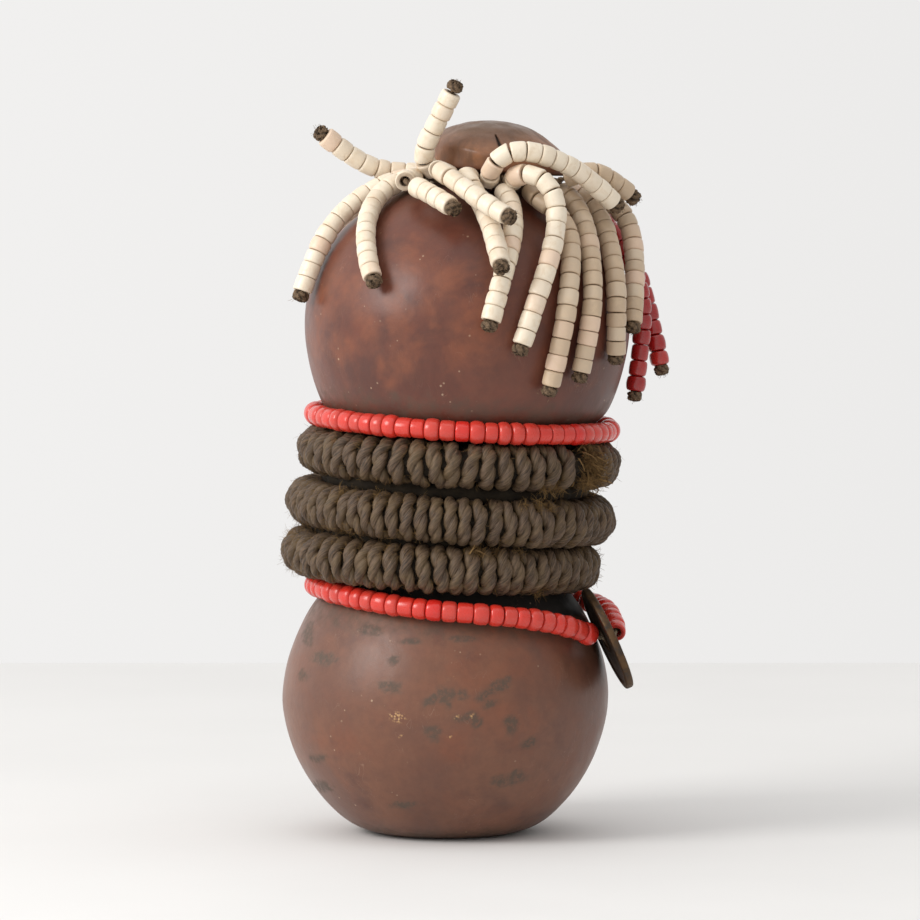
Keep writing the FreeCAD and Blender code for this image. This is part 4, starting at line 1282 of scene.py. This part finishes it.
def make_wrap(number):
    turns_full, start, end, seed = COIL_WRAPS[number]
    ply_radius, ply_offset, twist = COIL_PLIES[number]
    dice = random.Random(seed)
    turns = turns_full * abs(end - start) / 360
    steps = int(turns * WRAP_STEPS)
    turn = np.linspace(0, turns, steps)
    index = np.floor(turn).astype(int)
    spots = range(int(turns) + 3)
    spacing = np.array([dice.gauss(0, WRAP_SPACING) for _ in spots])
    lean = np.array([dice.gauss(0, UNEVEN_LEAN) for _ in spots])
    thick = np.array([dice.uniform(*WRAP_THICKNESS) for _ in spots])
    soft = step_between(0, 1, turn - index)

    def blended(table):
        return table[index] * (1 - soft) + table[index + 1] * soft

    across = FULL_TURN * turn - math.pi
    pitch = math.radians(360 / turns_full)
    around = math.radians(start) - turn * pitch
    around += blended(spacing) * pitch + np.sin(across) * pitch * (WRAP_LEAN + blended(lean))
    size = blended(thick)
    swell = (steady_noise(turn, seed, 1.7) * LOOSENESS[0]
             + steady_noise(turn, seed + 5, 0.31) * LOOSENESS[1])
    tight = COIL_RADIUS + 0.0001 - (ply_radius + ply_offset) * WRAP_FLATTEN
    path = coil_points(number, around, across, tight + swell)
    far = coil_points(number, around, across, np.full(steps, OUTSIDE_COIL))
    outward = unit_rows(far - path)
    wobble = steady_noise(turn, seed + 9, 0.9) * 2.4
    side, other = square_sides(unit_rows(np.gradient(path, axis=0)), outward)
    along = distances_along(path)
    turned = round_angles(WRAP_SIDES)
    build = Build()
    for phase in (0.0, math.pi):
        angle = FULL_TURN * along / twist + phase + wobble
        out = np.cos(angle)[:, None] * side * WRAP_FLATTEN + np.sin(angle)[:, None] * other
        lump = 1 + steady_noise(along, seed + phase, 420.0) * 0.10
        rows = tube_rows(path + out * (ply_offset * size)[:, None], ply_radius * size * lump,
                         WRAP_SIDES, out)
        height = (rows - path[:, None, :]) * side[:, None, :]
        depth = height.sum(2) / (ply_radius + ply_offset)
        # deep: painted shade in the crevices between the plies, and dust; raised at the top and
        # bottom of the coil
        deep = np.clip(0.55 - depth * 0.75 + np.abs(np.sin(across)[:, None] * 0.2), 0, 1)
        paint = painted(rows, np.cos(turned), np.sin(turned), (along * 110.0)[:, None], deep)
        build.grid(rows, paint, start_cap=True, end_cap=True)
    name = "coil_wrap_%d" % number
    build.piece("coil_cord_%d" % number, "gourd", WRAP, [name])


def make_core(number):
    """Bundle of fibre strands that the wraps hold together, coloured near black as painted shade in
    the gaps between the wraps.
    """
    steps, sides = CORE_STEPS, CORE_SIDES
    around, across = round_angles(steps), round_angles(sides)
    rows = np.zeros((steps + 1, sides, 3))
    for k, a in enumerate(across):
        ridge = CORE_RADIUS + CORE_RIDGES[0] * math.cos(9 * a)
        ridge += CORE_RIDGES[1] * math.sin(23 * a + 1.0)
        reach = ridge + steady_noise(around, number + k * 0.37, 6.0) * 0.0002
        rows[:-1, k] = coil_points(number, around, np.full(steps, a), reach)
    rows[-1] = rows[0]
    build = Build()
    paint = painted(rows[:-1], np.cos(across) * 7, np.sin(across) * 7, (around * 3)[:, None], 0.8)
    faces = [tuple((k % (steps * sides)) for k in face[::-1]) for face in
             grid_faces(steps + 1, sides)]
    build.add(rows[:-1].reshape(-1, 3), faces, paint.reshape(-1, 4))
    name = "coil_core_%d" % number
    build.piece("coil_fibre_%d" % number, "gourd", SHADED_CORE, [name])


def make_packing():
    """Ragged fibre pushed into the crevices between the coils, coloured near black as painted
    shade.
    """
    build = Build()
    steps, sides = PACKING_STEPS, PACKING_SIDES
    around = round_angles(steps, True)
    for upper, lower in ((1, 2), (2, 3)):
        rings = [coil_points(n, around, np.full(steps, math.pi), np.full(steps, PACKING_DEPTH))
                 for n in (upper, lower)]
        middle = (rings[0] + rings[1]) / 2
        middle[:, 2] += steady_noise(around, upper + 3, 4.0) * 0.0012
        lumps = 1 + steady_noise(around, upper + 13, 9.0) * 0.35
        rows = tube_rows(middle, PACKING_RADIUS * lumps, sides)
        turned = round_angles(sides)
        build.grid(rows, painted(rows, np.cos(turned) * 5, np.sin(turned) * 5,
                                 (around * 4)[:, None], 0.9))
    build.piece("coil_packing", "gourd", SHADED_CORE)


for coil in COIL_WRAPS:
    make_wrap(coil)
    make_core(coil)
make_packing()


HAIR, TUFT_HAIR, TUFT_YARN = 0.00005, 0.00006, 0.00026  # radii
BESIDE_COIL = 0.012  # a place outside a coil, to tell which way is out
LOOSE_HAIRS = 3200
BIG_CLUMP = 110  # clumps of more hairs than this also have torn yarns


def on_coil(number, around_degrees, across_degrees, reach=COIL_RADIUS):
    return coil_points(number, np.array([math.radians(around_degrees)]),
                       np.array([math.radians(across_degrees)]), np.array([reach]))[0]


def make_fuzz():
    """Loose hairs in the hollows between the coils and between the wraps."""
    dice = random.Random(51)
    build = Build()
    for _ in range(LOOSE_HAIRS):
        number = dice.choice((1, 2, 2, 3, 3))
        around = dice.uniform(0, 360) if dice.random() < 0.6 else dice.uniform(170, 260)
        low = dice.random() < 0.45
        across = dice.gauss(-52, 16) if low else dice.gauss(50, 18)
        place = on_coil(number, around, across, COIL_RADIUS - 0.0010)
        out = Vector(on_coil(number, around, across, BESIDE_COIL)) - Vector(place)
        tangent = Vector((-math.sin(math.radians(around)), math.cos(math.radians(around)), 0))
        way = out.normalized() * 0.6 + tangent * dice.uniform(-1.4, 1.4) + UP * dice.gauss(0, 0.5)
        add_fibres(build, place, way, 1, 0.0028, 0.3, dice, HAIR, 0.9)
    build.piece("coil_fuzz", "gourd", TUFT)


def make_tufts():
    """Torn ends and clumps of fibre that stick out of the coils."""
    dice = random.Random(61)
    build = Build()
    # coil, angle round (degrees), angle across, hairs, length, spread, lift of the direction
    clumps = [
        (1, -35.0, 28, 220, 0.0056, 0.55, -0.9), (1, -32.0, -5, 200, 0.0056, 0.6, -1.1),
        (1, -37.0, -34, 150, 0.0050, 0.6, -0.6), (1, -29.0, 10, 120, 0.0044, 0.6, 0.0),
        (1, -34.0, 55, 120, 0.0044, 0.6, -0.4), (1, -30.0, -40, 120, 0.0046, 0.6, -0.4),
        (1, -55.0, -58, 110, 0.0042, 0.8, -0.4), (1, -48.0, -60, 90, 0.0040, 0.8, -0.2),
        (2, -56.0, 56, 90, 0.0046, 0.7, 0.4), (2, -52.0, 50, 60, 0.0040, 0.8, 0.2),
        (2, -62.0, 58, 50, 0.0040, 0.8, 0.2), (3, -78.0, 66, 120, 0.0042, 0.8, 0.3),
        (3, -75.0, 58, 80, 0.0036, 0.9, 0.0), (3, -68.0, 64, 70, 0.0034, 0.9, 0.2),
        (3, -60.0, 60, 50, 0.0034, 0.9, 0.2), (3, -48.0, -62, 60, 0.0034, 0.8, -0.6),
        (2, -118.0, 58, 60, 0.0032, 0.9, 0.2), (2, -135.0, 55, 50, 0.0030, 0.9, 0.2),
        (3, -165.0, 60, 40, 0.0040, 0.8, 0.6), (2, 60.0, 58, 60, 0.0036, 0.8, 0.2),
        (3, 100.0, 60, 60, 0.0036, 0.8, 0.2), (1, 120.0, -55, 50, 0.0036, 0.8, -0.4),
        (3, 10.0, 20, 40, 0.0032, 0.8, 0.2), (3, -8.0, -30, 40, 0.0030, 0.8, 0.0),
    ]
    for number, around, across, hairs, length, spread, lift in clumps:
        place = Vector(on_coil(number, around, across, COIL_RADIUS - 0.0012))
        out = (Vector(on_coil(number, around, across, BESIDE_COIL)) - place).normalized()
        way = out + UP * lift
        add_fibres(build, place, way, hairs, length, spread, dice, TUFT_HAIR, 1.3, 0.0009)
        if hairs > BIG_CLUMP:
            add_fibres(build, place, way, hairs // 12, length, spread, dice, TUFT_YARN, 1.3, 0.0016)
    build.piece("coil_tufts", "gourd", TUFT)


make_fuzz()
make_tufts()

# ---- disc ----


CAST_PITS = 0.00005  # depth of the pits in the cast faces
CAST_SIDE = 0.0004  # the side of the disc has no pits up to this height
FIELD_DEPTH = 0.00035  # how far the field lies under the rims
EDGE_FALL = 0.00012
DISC_SIDES = 140


def make_disc():
    """Cast disc with a raised rim outside and round its hole, plain on both faces."""
    normal = Vector((math.cos(DISC_LEAN) * math.cos(DISC_TURN), math.sin(DISC_TURN),
                     math.sin(DISC_LEAN))).normalized()
    turn = normal.to_track_quat("Z", "Y").to_matrix()
    half, hole = DISC_THICKNESS / 2, DISC_HOLE_RADIUS
    sunk, fallen = half - FIELD_DEPTH, half - EDGE_FALL
    side = [(hole, 0.0), (hole, half - 0.0003), (hole + 0.0001, half - 0.0001),
            (hole + 0.0004, half), (hole + 0.0010, half), (hole + 0.0013, fallen),
            (hole + 0.0016, sunk), (0.0065, sunk), (0.0085, sunk), (0.0105, sunk),
            (0.0122, sunk), (0.0132, sunk), (0.0135, fallen), (0.0138, half), (0.0148, half),
            (0.01515, fallen), (0.0153, half - 0.0003), (DISC_RADIUS, half - 0.0006)]
    outline = side + [(r, -z) for r, z in side[::-1]]
    rows, raised = [], []
    for r, z in outline + outline[:1]:
        ring = []
        for angle in round_angles(DISC_SIDES):
            wear = noise.noise(ring_point(angle, 2.2, r * 90))
            reach = r * (1 + 0.004 * wear) if r > 0.012 else r
            pit = noise.noise(ring_point(angle) * r * 700) * CAST_PITS
            rise = z + math.copysign(pit, z) * (abs(z) > CAST_SIDE)
            ring.append(DISC_CENTRE + turn @ ring_point(angle, reach, rise))
        rows.append(ring)
        raised.append([float(r > 0.0134 or r < hole + 0.0013)])
    rows, raised = np.array(rows, float), np.array(raised)
    build = Build()
    build.grid(rows, painted(rows, raised, 1 - raised, 0, 1))
    build.piece("holed_disc", "disc_body", BRONZE, ["pendant_disc"])


make_disc()

# ---- seeds ----


SEED_SHAPE = (0.98, 0.82, 0.80)
SEED_UNEVEN = 0.05
SEED_RINGS, SEED_SIDES = 18, 24


def make_seeds():
    """Flattened oval seeds in the places of the CAD's round ones."""
    low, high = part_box("rattle_seeds")
    radius = (high.z - low.z) / 2
    middle = (low + high) / 2
    spread = (high.x - low.x) / 2 - radius
    places = [middle] + [middle + ball_point(k * math.pi / 3, 0) * spread for k in range(6)]
    build = Build()
    dice = random.Random(71)
    for place in places:
        turn = Matrix.Rotation(dice.uniform(0, 3), 3, "Z") @ Matrix.Rotation(
            dice.uniform(-0.4, 0.4), 3, "X")
        rows = []
        for rise in np.linspace(-1.5, 1.5, SEED_RINGS):
            ways = [ball_point(angle, rise) for angle in round_angles(SEED_SIDES)]
            swells = [1 + SEED_UNEVEN * noise.noise(way * 2 + place * 900) for way in ways]
            rows.append([place + turn @ (way * Vector(SEED_SHAPE) * radius * swell)
                         for way, swell in zip(ways, swells)])
        build.grid(rows, start_cap=True, end_cap=True)
    build.piece("seed_handful", "seed_body", SEED, ["rattle_seeds"])


make_seeds()

# ---- floor and light ----


TENT_MIDDLE = 0.86  # brightness of the tent straight behind
TENT_SLOPE = 0.30  # how much brighter it is on the left
FLOOR_BACK = 0.479  # where the floor ends and the pale backdrop starts
FLOOR_HALF = 6.0


def make_floor():
    half = FLOOR_HALF
    mesh = bpy.data.meshes.new("floor")
    corners = [(-half, -half, 0), (half, -half, 0), (half, FLOOR_BACK, 0), (-half, FLOOR_BACK, 0)]
    mesh.from_pydata(corners, [], [(0, 1, 2, 3)])
    mesh.materials.append(floor_material())
    linked("floor", mesh)


def make_light():
    """White tent, brighter on the left than on the right, and two soft boxes."""
    world = bpy.data.worlds.new("studio")
    world.use_nodes = True
    nodes, links = world.node_tree.nodes, world.node_tree.links
    way = nodes.new("ShaderNodeTexCoord").outputs["Generated"]
    parts = nodes.new("ShaderNodeSeparateXYZ")
    links.new(way, parts.inputs[0])
    fall = nodes.new("ShaderNodeMapRange")
    fall.inputs["From Min"].default_value = -1.0
    fall.inputs["From Max"].default_value = 1.0
    fall.inputs["To Min"].default_value = TENT_MIDDLE + TENT_SLOPE
    fall.inputs["To Max"].default_value = TENT_MIDDLE - TENT_SLOPE
    links.new(parts.outputs[0], fall.inputs["Value"])
    back = nodes["Background"]
    back.inputs["Color"].default_value = (1.0, 0.99, 0.98, 1.0)
    links.new(fall.outputs[0], back.inputs["Strength"])
    bpy.context.scene.world = world
    area_light("key", (-0.85, -0.50, 0.62), (0, 0, 0.10), 0.50, 6.6, (1.0, 0.985, 0.965))
    area_light("top", (0.10, -0.20, 1.20), (0, 0, 0.10), 0.9, 1.0, (1.0, 1.0, 1.0))
    bpy.context.scene.view_settings.view_transform = "Standard"


make_floor()
make_light()
